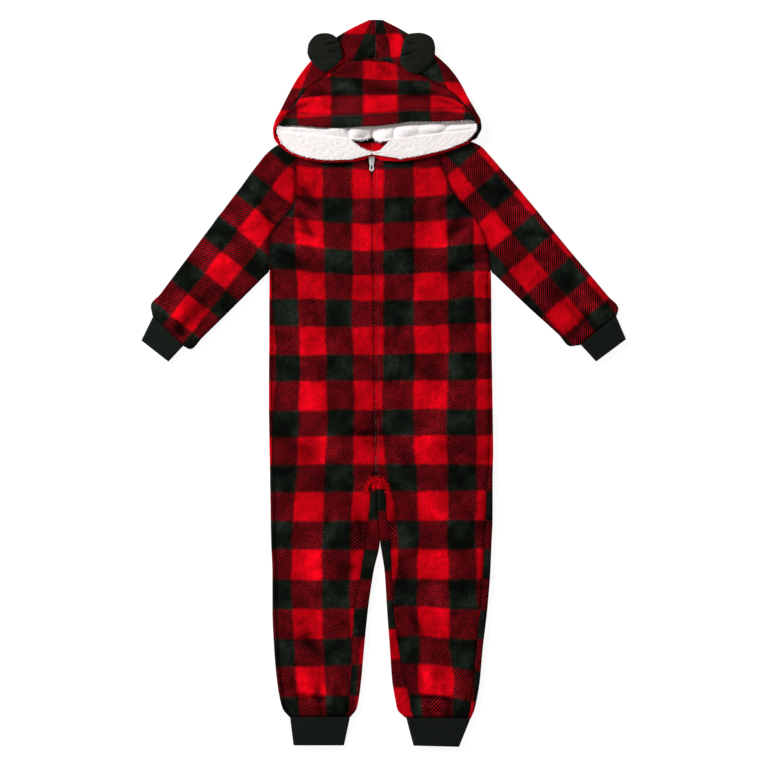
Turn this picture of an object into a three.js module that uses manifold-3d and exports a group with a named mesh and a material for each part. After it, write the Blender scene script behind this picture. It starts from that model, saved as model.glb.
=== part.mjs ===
// Child's hooded one-piece pyjama in plush check, laid flat on its back.
// Millimetres. X runs across the chest, Y from the feet to the hood, Z up from the surface it lies on.
import * as THREE from "three";
import Module from "manifold-3d";

const wasm = await Module();
wasm.setup();

// Driving sizes
const CLOTH = 3.0; // plush wall
const RIB = 2.6; // rib cuff wall
const RIB_PITCH = 5; // from one rib to the next on a cuff
const RIB_RISE = 0.5; // height of a rib over the wall
const RIM_LINING = 2.4; // lining pressed flat under the hood's hem
const SEAM = 0.2; // each piece stops this far short of its seam line
const LAY = 0.35; // clearance between layers that rest on each other
const FLAT = 8.2; // height of the two layers laid on each other
const EDGE = 4.0; // radius of a folded side edge
const LIFT = 9.0; // height at which the hood's front edge lies on the chest
const TAPE_WIDTH = 12;
const TAPE = 0.9;
const PULL_AXIS = { y: 378.3, z: 9.9 };

// One object per row, with the columns' names as keys
function table(columns, rows) {
  const keys = columns.split(" ");
  return rows.map((row) => Object.fromEntries(keys.map((key, i) => [key, row[i]])));
}

// Left half of the body: a row for each level, from the raglan seam down to the ankle.
// side: outer edge or raglan seam; front and back: centre end of each panel; cut: 1 where the side is a raglan seam
// (2 where the underarm starts to turn up); wrap: how far the side seam lies in from the edge on the
// top face; inseam: the same at the leg's inner edge (-1 where the crotch starts to turn up).
const BODY_LEFT = table("sideX sideY frontX frontY backX backY cut wrap inseam", [
  [-150, 406, -58, 402, -20, 417, 1, 0, 0],
  [-149, 382, -44, 389, -20, 394, 1, 0, 0],
  [-149, 358, -29.5, 376, -20, 376, 1, 0, 0],
  [-149.4, 341, -23.6, 361, -20, 361, 1, 0, 0],
  [-150, 323, -21.6, 340, -20, 340, 1, 0, 0],
  [-157, 297, -21.2, 308, -19.6, 308, 1, 0, 0],
  [-174, 273, -20.9, 280, -19.3, 280, 1, 0, 0],
  [-193, 248, -20.6, 252, -19, 252, 1, 0, 0],
  [-194.5, 215, -20.2, 218, -18.6, 218, 1, 0, 0],
  [-195, 194, -20, 194, -18.4, 194, 1, 0, 0],
  [-195, 192, -20, 192, -18.4, 192, 2, 0, 0],
  [-195, 189.5, -19.9, 189.5, -18.3, 189.5, 0, 4.4, 0],
  [-195.5, 90, -18.8, 90, -17.2, 90, 0, 4.4, 0],
  [-196, -41, -17.2, -41, -15.6, -41, 0, 4.4, 0],
  [-195.5, -76, -15.6, -76, -15, -76, 0, 4.6, 0],
  [-195, -114, -14.2, -114, -14, -114, 0, 5, 0],
  [-194, -162, -13.7, -162, -13.5, -162, 0, 6, 0],
  [-194, -165, -14.2, -165, -13.3, -165, 0, 6, -1],
  [-194, -168, -19.5, -168, -13.2, -168, 0, 6, 7],
  [-193.5, -190, -23, -190, -12, -190, 0, 6, 11],
  [-193, -228, -26, -228, -10, -228, 0, 6, 16],
  [-192, -276, -32, -272, -7.3, -268, 0, 6, 24],
  [-190, -323, -39, -323, -18, -323, 0, 6, 21],
  [-190, -385, -50, -385, -27, -385, 0, 6, 23],
  [-187, -454, -54.5, -454, -34, -454, 0, 6, 20],
  [-182, -509, -57, -509, -39, -509, 0, 6, 18],
  [-177, -539, -58.5, -539, -43, -539, 0, 5, 15],
  [-172, -556, -60, -556, -47, -556, 0, 4.5, 13],
  [-161, -569, -66, -569, -57, -569, 0, 4.5, 9],
]);

// Right half of the body, in the same columns
const BODY_RIGHT = table("sideX sideY frontX frontY backX backY cut wrap inseam", [
  [90, 406, 3, 402, -20, 417, 1, 0, 0],
  [94, 382, -4, 389, -20, 394, 1, 0, 0],
  [100, 362, -13, 376, -20, 376, 1, 0, 0],
  [108, 345, -17.6, 361, -20, 361, 1, 0, 0],
  [117, 328, -18.6, 340, -20, 340, 1, 0, 0],
  [134, 304, -18, 308, -19.6, 308, 1, 0, 0],
  [154, 280, -17.7, 280, -19.3, 280, 1, 0, 0],
  [171, 249, -17.4, 252, -19, 252, 1, 0, 0],
  [178, 219, -17, 218, -18.6, 218, 1, 0, 0],
  [181.5, 194, -16.8, 194, -18.4, 194, 1, 0, 0],
  [181.8, 192, -16.8, 192, -18.4, 192, 2, 0, 0],
  [182, 189.5, -16.7, 189.5, -18.3, 189.5, 0, 4.4, 0],
  [183, 90, -15.6, 90, -17.2, 90, 0, 4.4, 0],
  [185, -41, -14, -41, -15.6, -41, 0, 4.4, 0],
  [185.5, -76, -14.4, -76, -15, -76, 0, 5, 0],
  [186, -114, -13.8, -114, -14, -114, 0, 6, 0],
  [185, -162, -13.3, -162, -13.5, -162, 0, 8, 0],
  [185, -165, -12.8, -165, -13.3, -165, 0, 8.5, -1],
  [185, -168, -3.5, -168, -13.2, -168, 0, 9, 10],
  [185, -190, 3, -190, -12, -190, 0, 10, 15],
  [185, -228, 5, -228, -9.4, -228, 0, 11, 15],
  [183, -276, 11, -272, -6.4, -268, 0, 12, 18],
  [181, -323, 13.5, -323, 1, -323, 0, 12, 13],
  [176, -385, 17.5, -385, 5, -385, 0, 12, 13],
  [168, -454, 25.5, -454, 10, -454, 0, 11, 16],
  [163, -509, 37, -509, 14, -509, 0, 10, 23],
  [158, -539, 44, -539, 19, -539, 0, 9, 25],
  [154, -557, 46, -557, 23, -557, 0, 7, 23],
  [148, -571, 52, -570.5, 36, -570, 0, 5, 16],
]);

// Sleeves: outer is the fold along the top of the arm, inner the raglan seam and then the underarm seam
const SLEEVE_LEFT = table("outerX outerY innerX innerY cut", [
  [-167, 411, -150, 406, 1],
  [-184, 403, -149, 382, 1],
  [-203, 387, -149, 358, 1],
  [-214, 373, -149.4, 341, 1],
  [-225, 359, -150, 323, 1],
  [-243, 334, -157, 297, 1],
  [-260, 312, -174, 273, 1],
  [-275, 292, -193, 248, 1],
  [-284, 281, -194.5, 215, 1],
  [-289, 274, -195, 194, 1],
  [-291, 271, -196, 189, 0],
  [-336, 211, -252, 133, 0],
  [-381, 151, -309, 77, 0],
  [-397, 130, -330, 57, 0],
  [-394, 113, -341, 62, 0],
]);
const SLEEVE_RIGHT = table("outerX outerY innerX innerY cut", [
  [107, 411, 90, 406, 1],
  [135, 413, 94, 382, 1],
  [163, 404, 100, 362, 1],
  [179, 388, 108, 345, 1],
  [199, 365, 117, 328, 1],
  [223, 338, 134, 304, 1],
  [243, 314, 154, 280, 1],
  [258, 296, 171, 249, 1],
  [267, 285, 178, 219, 1],
  [271, 279.5, 181.5, 194, 1],
  [273, 277, 183, 189, 0],
  [327, 212, 240, 134, 0],
  [381, 148, 298, 81, 0],
  [399, 126, 318, 62, 0],
  [396, 114, 334, 64, 0],
]);

// Rib cuffs: the two ends of the seam with the garment, then of the open edge
const CUFFS = table("name ax ay bx by cx cy dx dy", [
  ["cuff_wrist_left", -393.5, 112.1, -342, 62.5, -413, 72, -367, 36],
  ["cuff_wrist_right", 395.4, 113.1, 335.1, 64.4, 412, 74, 361, 36],
  ["cuff_ankle_left", -160, -569.4, -58, -569.4, -154, -617, -68, -617],
  ["cuff_ankle_right", 38, -570.8, 147, -571.8, 50, -617.5, 128, -619.5],
]);

// Hood halves: edge is the outline, mid the underside's centre seam and then the neck, seam the end of
// the piece on the top face, lift the height of the underside, high the height over it at the edge
const HOOD_LEFT = table("edgeX edgeY midX midY seamX seamY liftEdge liftMid high", [
  [-27, 617, -14, 613, -14, 612, 0, 0, 8.4],
  [-54, 604, -14, 589, -14, 594, 0, 0, 9],
  [-87, 584, -14, 560, -14, 572, 0, 0, 9.6],
  [-112, 561, -14, 528, -27, 553, 0, 0, 9.8],
  [-133, 538, -14, 501, -62, 549, 0, 0, 9.8],
  [-150, 514, -14, 479, -98, 524, 0, 0, 10.4],
  [-165, 486, -14, 459, -132, 500, 0, 0, 12.2],
  [-177, 462, -14, 443, -152, 474, 0, 0, 14],
  [-186, 444, -14, 430, -168, 453, 1, 0, 15.6],
  [-189, 431, -14, 418, -181, 436, 4.5, 0, 13],
  [-189, 425, -56, 417, -185, 428, 7, 3, 9.5],
  [-188, 419, -59, 412.5, 0, 0, LIFT, LIFT, 7],
  [-181, 406, -50, 408, 0, 0, LIFT, LIFT, 7],
  [-170, 396, -42, 402, 0, 0, LIFT, LIFT, 7],
  [-153, 386, -33, 397, 0, 0, LIFT, LIFT, 7],
  [-129, 379, -27, 394, 0, 0, LIFT, LIFT, 7],
  [-92, 374.5, -21.2, 393, 0, 0, LIFT, LIFT, 7],
  [-54, 376, -21.2, 388, 0, 0, LIFT, LIFT, 7],
  [-33, 379.5, -21.2, 387, 0, 0, LIFT, LIFT, 6],
]);
const HOOD_RIGHT = table("edgeX edgeY midX midY seamX seamY liftEdge liftMid high", [
  [-1, 617, -14, 613, -14, 612, 0, 0, 8.4],
  [28, 602, -14, 589, -14, 594, 0, 0, 9],
  [61, 581, -14, 560, -14, 572, 0, 0, 9.6],
  [89, 557, -14, 528, 3, 548, 0, 0, 9.8],
  [113, 534, -14, 501, 42, 536, 0, 0, 9.8],
  [129, 512, -14, 479, 82, 515, 0, 0, 10.4],
  [144, 484, -14, 459, 118, 494, 0, 0, 12.2],
  [156, 463, -14, 443, 136, 475, 0, 0, 14],
  [165, 445, -14, 430, 150, 458, 1, 0, 15.6],
  [166, 433, -14, 418, 159, 440, 4.5, 0, 13],
  [164, 427, 30, 418, 160, 430, 7, 3, 9.5],
  [160, 420, 29, 413, 0, 0, LIFT, LIFT, 7],
  [146, 409, 7, 407, 0, 0, LIFT, LIFT, 7],
  [129, 401, 1, 401, 0, 0, LIFT, LIFT, 7],
  [107, 393, -4, 395, 0, 0, LIFT, LIFT, 7],
  [84, 387, -11, 393, 0, 0, LIFT, LIFT, 7],
  [58, 381, -20.2, 392.6, 0, 0, LIFT, LIFT, 7],
  [26, 376.5, -20.2, 388, 0, 0, LIFT, LIFT, 7],
  [-5, 377.5, -20.2, 387, 0, 0, LIFT, LIFT, 6],
]);

// Hood lining halves: edge is the outer end, mid the centre seam and then the gap at the neck
const LINING_LEFT = table("edgeX edgeY midX midY zEdge zMid thick", [
  [-118, 508, -14, 514, 3, 3, 3.6],
  [-146, 484, -14, 480, 3, 3, 4.2],
  [-164, 458, -14, 448, 3, 3, 4.2],
  [-175, 445, -14, 430, 4, 3, 4.2],
  [-179, 436, -20, 420, 7, 3.4, 4.2],
  [-180, 431.5, -33, 415, 9.5, 4.5, 4.2],
  [-180.2, 428, -46, 413, 11, 9, 4.2],
  [-180, 425, -56, 414, 12, 12, 4.2],
  [-178, 418, -53, 409.5, 12, 12, 4.2],
  [-174, 409, -48, 405.5, 12, 12, 4.2],
  [-165, 399.5, -41, 400, 12, 12, 4.2],
  [-150, 390, -33, 395.5, 12, 12, 4.2],
  [-128, 383.5, -27, 392.8, 12, 12, 4.2],
  [-92, 379, -21.4, 391.6, 12, 12, 4.0],
  [-54, 380, -21.4, 388, 12, 12, 3.4],
]);
const LINING_RIGHT = table("edgeX edgeY midX midY zEdge zMid thick", [
  [98, 504, -14, 514, 3, 3, 3.6],
  [127, 480, -14, 480, 3, 3, 4.2],
  [144, 460, -14, 448, 3, 3, 4.2],
  [154, 447, -14, 430, 4, 3, 4.2],
  [156.5, 438, -20, 420, 7, 3.4, 4.2],
  [157, 433, -9, 411.5, 9.6, 4.5, 4.2],
  [156, 429.5, 3, 411, 12, 10, 4.2],
  [154, 426.5, 11, 414, 12, 12, 4.2],
  [149, 420, 9, 409.5, 12, 12, 4.2],
  [140, 412, 5, 405, 12, 12, 4.2],
  [125, 405, -1, 399, 12, 12, 4.2],
  [104, 397, -6, 394, 12, 12, 4.2],
  [82, 391.5, -12, 391.8, 12, 12, 4.2],
  [57, 386, -19.9, 391.2, 12, 12, 4.0],
  [26, 381, -19.9, 388, 12, 12, 3.4],
]);

// Hood's front band: a row for each station from the left corner of the mouth to the right one
const BAND = table("rimX rimY seamX seamY zRim zSeam", [
  [-179, 438, -169.5, 450.5, 17.6, 15.8],
  [-163, 438, -152, 472, 18, 14.2],
  [-143, 437, -132, 499, 18.6, 12.2],
  [-109, 434, -98, 523, 19.4, 10.4],
  [-75, 433, -62, 548, 20.2, 9.8],
  [-41, 435, -27, 552, 20.6, 9.8],
  [-14, 436, -12, 551, 20.8, 9.8],
  [19, 440, 3, 547, 20.6, 9.8],
  [53, 444, 42, 535, 20.2, 9.8],
  [87, 444, 82, 514, 19.4, 10.4],
  [121, 445, 117, 493, 18.6, 12.2],
  [143, 447, 135.5, 474, 18, 14.2],
  [157, 444, 149.5, 457, 17.6, 15.8],
]);

// Soft folds of the top layer: from x1 y1 to x2 y2, half width and height (a trough is negative)
const FOLDS = table("x1 y1 x2 y2 wide high", [
  [-168, 262, -92, 214, 16, 1.5],
  [-186, 226, -120, 188, 13, -1.4],
  [158, 262, 96, 218, 16, 1.5],
  [172, 226, 112, 186, 13, -1.4],
  [-60, -92, 6, -92, 14, -1.3],
  [-120, -60, -70, -160, 20, 1.2],
  [96, -40, 52, -150, 20, 1.2],
  [-150, 60, -120, -60, 22, 1.1],
  [120, 80, 140, -60, 22, 1.1],
  [-120, -250, -100, -430, 22, 1.3],
  [96, -250, 92, -430, 22, 1.3],
  [-160, -470, -120, -548, 14, 1.5],
  [-92, -480, -88, -552, 12, 1.4],
  [70, -480, 84, -552, 12, 1.4],
  [134, -470, 118, -550, 14, 1.5],
  [-232, 300, -300, 200, 20, 1.5],
  [-330, 170, -368, 108, 12, 1.5],
  [-292, 160, -340, 96, 12, -1.3],
  [216, 306, 290, 206, 20, 1.5],
  [326, 168, 366, 108, 12, 1.5],
  [282, 164, 334, 98, 12, -1.3],
]);

const clamp01 = (t) => Math.min(1, Math.max(0, t));
const smooth = (t) => clamp01(t) ** 2 * (3 - 2 * clamp01(t));
const mix = (a, b, t) => a + (b - a) * t;

// X of the zip's line, and of the centre seam under it, at a height Y
function zipX(y) {
  return y > 300 ? mix(-19.5, -21, (y - 300) / 83) : mix(-15.6, -19.5, (y + 43) / 343);
}

// Height of the top layer's outer face over the surface
function topZ(x, y) {
  let z = 0;
  for (const f of FOLDS) {
    const dx = f.x2 - f.x1;
    const dy = f.y2 - f.y1;
    const t = ((x - f.x1) * dx + (y - f.y1) * dy) / (dx * dx + dy * dy);
    const near = clamp01(t);
    const away = Math.hypot(x - f.x1 - near * dx, y - f.y1 - near * dy);
    z += f.high * Math.exp(-((away / f.wide) ** 2)) * Math.sin(Math.PI * mix(0.15, 0.85, near));
  }
  z = Math.max(-1.4, Math.min(1.55, z));
  const atZip = y > -60 ? smooth((Math.abs(x - zipX(y)) - 6) / 22) : 1;
  const atNeck = 1 - smooth((y - 330) / 40);
  const overSlider = 0.8 * Math.exp(-(((x + 21) / 26) ** 2) - ((y - 372) / 30) ** 2);
  return FLAT + z * atZip * atNeck + overSlider;
}

const point = (x, y, z, nx, ny, nz) => ({ p: new THREE.Vector3(x, y, z), n: new THREE.Vector3(nx, ny, nz) });

// Points of a rounded edge at (ex, ey): angle 0 is the top, 180 the underside
function edgeArc(ex, ey, towards, low, high, degrees) {
  const dir = new THREE.Vector2(towards.x - ex, towards.y - ey).normalize();
  const r = Math.min(EDGE, high / 2);
  return degrees.map((deg) => {
    const a = THREE.MathUtils.degToRad(deg);
    const out = r * (1 - Math.sin(a));
    const n = new THREE.Vector3(-dir.x * Math.sin(a) * (high / 2), -dir.y * Math.sin(a) * (high / 2), Math.cos(a) * r);
    n.normalize();
    const z = low + (high / 2) * (1 + Math.cos(a));
    return { p: new THREE.Vector3(ex + dir.x * out, ey + dir.y * out, z), n };
  });
}

// count points from a to b (b left out unless last is set), on the face that z gives
function run(a, b, count, z, up, last = false) {
  const points = [];
  for (let i = 0; i < count; i++) {
    const t = i / (last ? count - 1 : count);
    const x = mix(a.x, b.x, t);
    const y = mix(a.y, b.y, t);
    points.push(point(x, y, z(x, y, t), 0, 0, up));
  }
  return points;
}

// A point that lies a distance in from a towards b
function inward(a, b, distance) {
  const dir = new THREE.Vector2(b.x - a.x, b.y - a.y).normalize();
  return { x: a.x + dir.x * distance, y: a.y + dir.y * distance };
}

// Collects one closed mesh
class Skin {
  constructor() {
    this.points = [];
    this.faces = [];
  }

  add(v) {
    this.points.push(v.x, v.y, v.z);
    return this.points.length / 3 - 1;
  }

  quad(a, b, c, d) {
    this.faces.push(a, b, c, a, c, d);
  }

  mesh(name, material) {
    const geometry = new THREE.BufferGeometry();
    geometry.setAttribute("position", new THREE.Float32BufferAttribute(this.points, 3));
    let volume = 0;
    const at = (i) => new THREE.Vector3().fromArray(this.points, 3 * i);
    for (let i = 0; i < this.faces.length; i += 3) {
      const [a, b, c] = this.faces.slice(i, i + 3).map(at);
      volume += a.dot(b.cross(c));
    }
    const faces = this.faces.slice();
    if (volume < 0) {
      for (let i = 0; i < faces.length; i += 3) {
        [faces[i], faces[i + 1]] = [faces[i + 1], faces[i]];
      }
    }
    geometry.setIndex(faces);
    geometry.computeVertexNormals();
    const mesh = new THREE.Mesh(geometry, material);
    mesh.name = name;
    return mesh;
  }
}

// A cloth wall: rows of outer points with their normals, the inner face a wall's thickness behind them
function wall(name, material, rows, thick, ring = false) {
  const skin = new Skin();
  const outer = rows.map((row) => row.map((v) => skin.add(v.p.clone().addScaledVector(v.n, v.rise ?? 0))));
  const inner = rows.map((row, i) =>
    row.map((v) => skin.add(v.p.clone().addScaledVector(v.n, -(typeof thick === "function" ? thick(i) : thick)))),
  );
  const across = rows[0].length;
  const lastStep = ring ? across : across - 1;
  for (let i = 0; i + 1 < rows.length; i++) {
    for (let j = 0; j < lastStep; j++) {
      const k = (j + 1) % across;
      skin.quad(outer[i][j], outer[i][k], outer[i + 1][k], outer[i + 1][j]);
      skin.quad(inner[i][k], inner[i][j], inner[i + 1][j], inner[i + 1][k]);
    }
    if (!ring) {
      skin.quad(inner[i][0], outer[i][0], outer[i + 1][0], inner[i + 1][0]);
      skin.quad(outer[i][across - 1], inner[i][across - 1], inner[i + 1][across - 1], outer[i + 1][across - 1]);
    }
  }
  const end = rows.length - 1;
  for (let j = 0; j < lastStep; j++) {
    const k = (j + 1) % across;
    skin.quad(outer[0][k], outer[0][j], inner[0][j], inner[0][k]);
    skin.quad(outer[end][j], outer[end][k], inner[end][k], inner[end][j]);
  }
  return skin.mesh(name, material);
}

// A closed solid through rings of points, with flat ends
function loft(name, material, rings) {
  const skin = new Skin();
  const at = rings.map((ring) => ring.map((v) => skin.add(v)));
  const n = rings[0].length;
  for (let i = 0; i + 1 < rings.length; i++) {
    for (let j = 0; j < n; j++) {
      const k = (j + 1) % n;
      skin.quad(at[i][j], at[i][k], at[i + 1][k], at[i + 1][j]);
    }
  }
  const flat = rings[0].map((v) => new THREE.Vector2(v.x, v.z));
  const turned = THREE.ShapeUtils.isClockWise(flat);
  for (const [a, b, c] of THREE.ShapeUtils.triangulateShape(flat, [])) {
    const [b1, c1] = turned ? [c, b] : [b, c];
    skin.faces.push(at[0][a], at[0][c1], at[0][b1]);
    skin.faces.push(at[rings.length - 1][a], at[rings.length - 1][b1], at[rings.length - 1][c1]);
  }
  return skin.mesh(name, material);
}

const fabric = (color, roughness = 0.95) => new THREE.MeshStandardMaterial({ color, roughness, metalness: 0 });
const plush = fabric(0xa80c1c);
const rib = fabric(0x1b1e1a);
const sherpa = fabric(0xf8efee);
const earCloth = fabric(0x1b1e1a);
const tapeCloth = fabric(0x4a1014, 0.8);
const metal = new THREE.MeshStandardMaterial({ color: 0xb9bcc0, roughness: 0.3, metalness: 1 });

// Front and back of one half of the body. dir is +1 when the side edge is on the left.
function bodyRows(rows, dir) {
  const front = [];
  const back = [];
  for (const r of rows) {
    const gap = SEAM * dir;
    const side = { x: r.sideX + (r.cut ? gap : 0), y: r.sideY };
    const mid = { x: r.frontX - gap * (r.inseam > 0 ? 3 : 1), y: r.frontY };
    const backMid = { x: r.backX - gap, y: r.backY };
    const high = topZ(r.sideX, r.sideY);
    const onTop = (x, y) => topZ(x, y);
    const floor = () => 0;
    // The front runs from the centre out to the side seam
    if (r.cut === 1) {
      front.push([...run(mid, side, 9, onTop, 1, true)]);
    } else {
      front.push([...run(mid, inward(side, mid, (r.wrap || EDGE) + SEAM), 9, onTop, 1, true)]);
    }
    // The back runs from the side seam under the body to the centre, or round the leg to the inseam
    let start;
    if (r.cut === 2) {
      start = edgeArc(side.x, side.y, backMid, 0, high, [92, 110, 128, 146, 164]);
    } else if (r.cut) {
      start = run(side, inward(side, backMid, EDGE), 5, floor, -1);
    } else {
      const seam = inward(side, backMid, r.wrap);
      start = [point(seam.x, seam.y, topZ(seam.x, seam.y), 0, 0, 1)];
      start.push(...edgeArc(side.x, side.y, backMid, 0, high, [0, 50, 90, 130]));
    }
    const flatStart = inward(side, backMid, EDGE);
    let tail;
    let flatEnd;
    if (r.inseam < 0) {
      flatEnd = inward(backMid, side, 24);
      tail = [flatEnd, inward(backMid, side, 12)].map((v) => point(v.x, v.y, 0, 0, 0, -1));
      tail.push(...edgeArc(backMid.x, backMid.y, side, 0, topZ(r.backX, r.backY), [180, 150, 120, 92]));
    } else if (r.inseam) {
      const innerHigh = topZ(r.backX, r.backY);
      flatEnd = inward(backMid, side, EDGE);
      tail = edgeArc(backMid.x, backMid.y, side, 0, innerHigh, [180, 130, 90, 50, 0]);
      const inseam = inward({ x: r.frontX, y: r.frontY }, backMid, SEAM + 0.25);
      tail.push(...run(tail[4].p, inseam, 2, onTop, 1, true).slice(1));
    } else {
      flatEnd = inward(backMid, side, 24);
      tail = run(flatEnd, backMid, 6, floor, -1, true);
    }
    back.push([...start, ...run(flatStart, flatEnd, 3, floor, -1), ...tail]);
  }
  return { front, back };
}

// A sleeve wraps from the underarm over the top, round its upper edge and back below
function sleeveRows(rows, dir) {
  return rows.map((r) => {
    const outer = { x: r.outerX, y: r.outerY };
    const inner = { x: r.innerX - (r.cut ? SEAM * dir : 0), y: r.innerY };
    const high = topZ(r.outerX, r.outerY);
    const highIn = topZ(r.innerX, r.innerY);
    const endTop = inward(outer, inner, EDGE);
    const startTop = inward(inner, outer, EDGE);
    const head = r.cut
      ? run(inner, startTop, 3, (x, y) => topZ(x, y), 1)
      : edgeArc(inner.x, inner.y, outer, 0, highIn, [86, 56, 28]);
    const tail = r.cut
      ? run(startTop, inner, 4, () => 0, -1, true).slice(1)
      : edgeArc(inner.x, inner.y, outer, 0, highIn, [152, 124, 94]);
    return [
      ...head,
      ...run(startTop, endTop, 7, (x, y) => topZ(x, y), 1),
      ...edgeArc(outer.x, outer.y, inner, 0, high, [0, 45, 90, 135, 180]),
      ...run(endTop, startTop, 4, () => 0, -1, true).slice(1),
      ...tail,
    ];
  });
}

// A rib cuff: a flattened ring from its seam to its open edge
function cuff(c) {
  const steps = [0, 0.08, 0.5, 1];
  const ribs = Math.round(Math.hypot(c.bx - c.ax, c.by - c.ay) / RIB_PITCH);
  const rows = steps.map((t) => {
    const a = { x: mix(c.ax, c.cx, t), y: mix(c.ay, c.cy, t) };
    const b = { x: mix(c.bx, c.dx, t), y: mix(c.by, c.dy, t) };
    const high = mix(FLAT, 7.6, t);
    const onTop = (x, y, s) => high + 0.5 * Math.sin(Math.PI * s);
    const top = run(inward(a, b, EDGE), inward(b, a, EDGE), 2 * ribs, onTop, 1).slice(1);
    return [
      ...edgeArc(a.x, a.y, b, 0, high, [180, 130, 90, 50, 0]),
      ...top.map((v, i) => ({ ...v, rise: i % 2 ? 0 : RIB_RISE })),
      ...edgeArc(b.x, b.y, a, 0, high, [0, 50, 90, 130, 180]),
      ...run(inward(b, a, EDGE), inward(a, b, EDGE), 3, () => 0, -1).slice(1),
    ];
  });
  return wall(c.name, rib, rows, RIB, true);
}

// A hood half runs from the centre of its underside out to the edge and over the top to its seam
function hoodRows(rows, dir) {
  return rows.map((r) => {
    const open = r.seamX === 0 && r.seamY === 0;
    const mid = { x: r.midX - SEAM * dir, y: r.midY };
    const edge = { x: r.edgeX, y: r.edgeY };
    const flatEnd = inward(edge, mid, EDGE);
    const under = run(mid, flatEnd, 6, (x, y, t) => mix(r.liftMid, r.liftEdge, smooth(t * 1.4)), -1);
    const low = mix(r.liftMid, r.liftEdge, 1);
    const arc = edgeArc(edge.x, edge.y, mid, low, r.high, open ? [180, 150, 125, 110, 95] : [180, 140, 100, 60, 20]);
    const tip = arc[4].p;
    let over;
    if (open) {
      over = [1, 2, 3, 4, 5].map((i) => {
        const v = arc[4];
        return { p: v.p.clone().setZ(v.p.z + 0.5 * i), n: v.n };
      });
    } else {
      const seam = { x: r.seamX - SEAM * dir, y: r.seamY };
      const top = low + r.high;
      over = run({ x: tip.x, y: tip.y }, seam, 6, (x, y, t) => mix(tip.z, top, smooth(t * 3)), 1, true).slice(1);
    }
    return [...under, ...arc, ...over];
  });
}

function liningRows(rows, dir) {
  return rows.map((r) => {
    const edge = { x: r.edgeX, y: r.edgeY };
    const mid = { x: r.midX - SEAM * dir, y: r.midY };
    return run(mid, edge, 9, (x, y, t) => mix(r.zMid, r.zEdge, smooth(t * 3.4)) + LAY + r.thick, 1, true);
  });
}

function band() {
  const rows = BAND.map((b) => {
    const at = [0, 0.04, 0.14, 0.34, 0.56, 0.78, 1];
    return at.map((t) => {
      const x = mix(b.rimX, b.seamX, t);
      const y = mix(b.rimY, b.seamY - 0.4, t);
      const round = t === 0 ? -0.8 : 0;
      return point(x, y, mix(b.zRim, b.zSeam, t) + round, 0, 0, 1);
    });
  });
  return wall("hood_front", plush, rows, CLOTH);
}

// The lining's strip that is turned under the hood's hem
function rimLining() {
  const rows = BAND.slice(1, -1).map((b) => {
    return [0, 0.5, 1].map((t) => {
      const length = Math.hypot(b.seamX - b.rimX, b.seamY - b.rimY);
      const s = mix(1.5, 30, t) / length;
      const z = mix(b.zRim, b.zSeam, s) - CLOTH - LAY - 0.4;
      return point(mix(b.rimX, b.seamX, s), mix(b.rimY, b.seamY, s), z, 0, 0, 1);
    });
  });
  return wall("lining_front", sherpa, rows, RIM_LINING);
}

// A padded ear: a round, slightly domed cushion gathered at its base
function ear(name, cx, cy, turn, z0) {
  const skin = new Skin();
  const around = 28;
  const levels = [
    [0, 0],
    [0.72, 0.0],
    [0.93, 0.22],
    [1.0, 0.5],
    [0.93, 0.78],
    [0.72, 0.96],
    [0.36, 1.0],
  ];
  const outline = (a) => {
    const base = 1 - 0.2 * Math.exp(-((Math.min(a, 2 * Math.PI - a) / 0.5) ** 2));
    return { rx: 33 * base, ry: 31 };
  };
  const place = (a, f, h) => {
    const o = outline(a);
    const u = Math.cos(a) * o.rx * f;
    const v = Math.sin(a) * o.ry * f;
    const x = cx + u * Math.cos(turn) - v * Math.sin(turn);
    const y = cy + u * Math.sin(turn) + v * Math.cos(turn);
    return new THREE.Vector3(x, y, z0 + 5.4 * h);
  };
  const bottom = skin.add(place(0, 0, 0));
  const top = skin.add(place(0, 0, 1.06));
  const rings = levels.slice(1).map(([f, h]) => {
    const ring = [];
    for (let i = 0; i < around; i++) {
      ring.push(skin.add(place((2 * Math.PI * i) / around, f, h)));
    }
    return ring;
  });
  for (let i = 0; i < around; i++) {
    const k = (i + 1) % around;
    skin.faces.push(bottom, rings[0][k], rings[0][i]);
    skin.faces.push(top, rings[rings.length - 1][i], rings[rings.length - 1][k]);
    for (let j = 0; j + 1 < rings.length; j++) {
      skin.quad(rings[j][i], rings[j][k], rings[j + 1][k], rings[j + 1][i]);
    }
  }
  return skin.mesh(name, earCloth);
}

// A zip tape with its row of teeth as one raised bead
function tape(name, dir) {
  const stations = [-42, 30, 120, 210, 300, 346, 352, 366, 372, 382.8];
  const rings = stations.map((y) => {
    const x = zipX(y);
    const rise = 0.9 * smooth((y - 350) / 16);
    const width = mix(TAPE_WIDTH, 4.6, smooth((y - 344) / 18));
    const low = 3.4 + rise;
    const section = [
      [0.2, low],
      [0.2, 6.2],
      [1.25, 6.2],
      [1.3, low + TAPE],
      [width, low + TAPE],
      [width, low],
    ];
    return section.map(([u, z]) => new THREE.Vector3(x - dir * u, y, z));
  });
  return loft(name, tapeCloth, rings);
}

function solidOf(geometry) {
  const g = geometry.index ? geometry.toNonIndexed() : geometry;
  const at = g.getAttribute("position");
  const key = new Map();
  const verts = [];
  const tris = [];
  for (let i = 0; i < at.count; i++) {
    const v = [at.getX(i), at.getY(i), at.getZ(i)].map((n) => Math.round(n * 1e4) / 1e4);
    const id = v.join(" ");
    if (!key.has(id)) {
      key.set(id, verts.length / 3);
      verts.push(...v);
    }
    tris.push(key.get(id));
  }
  const mesh = new wasm.Mesh({
    numProp: 3,
    vertProperties: new Float32Array(verts),
    triVerts: new Uint32Array(tris),
  });
  return new wasm.Manifold(mesh);
}

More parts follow.
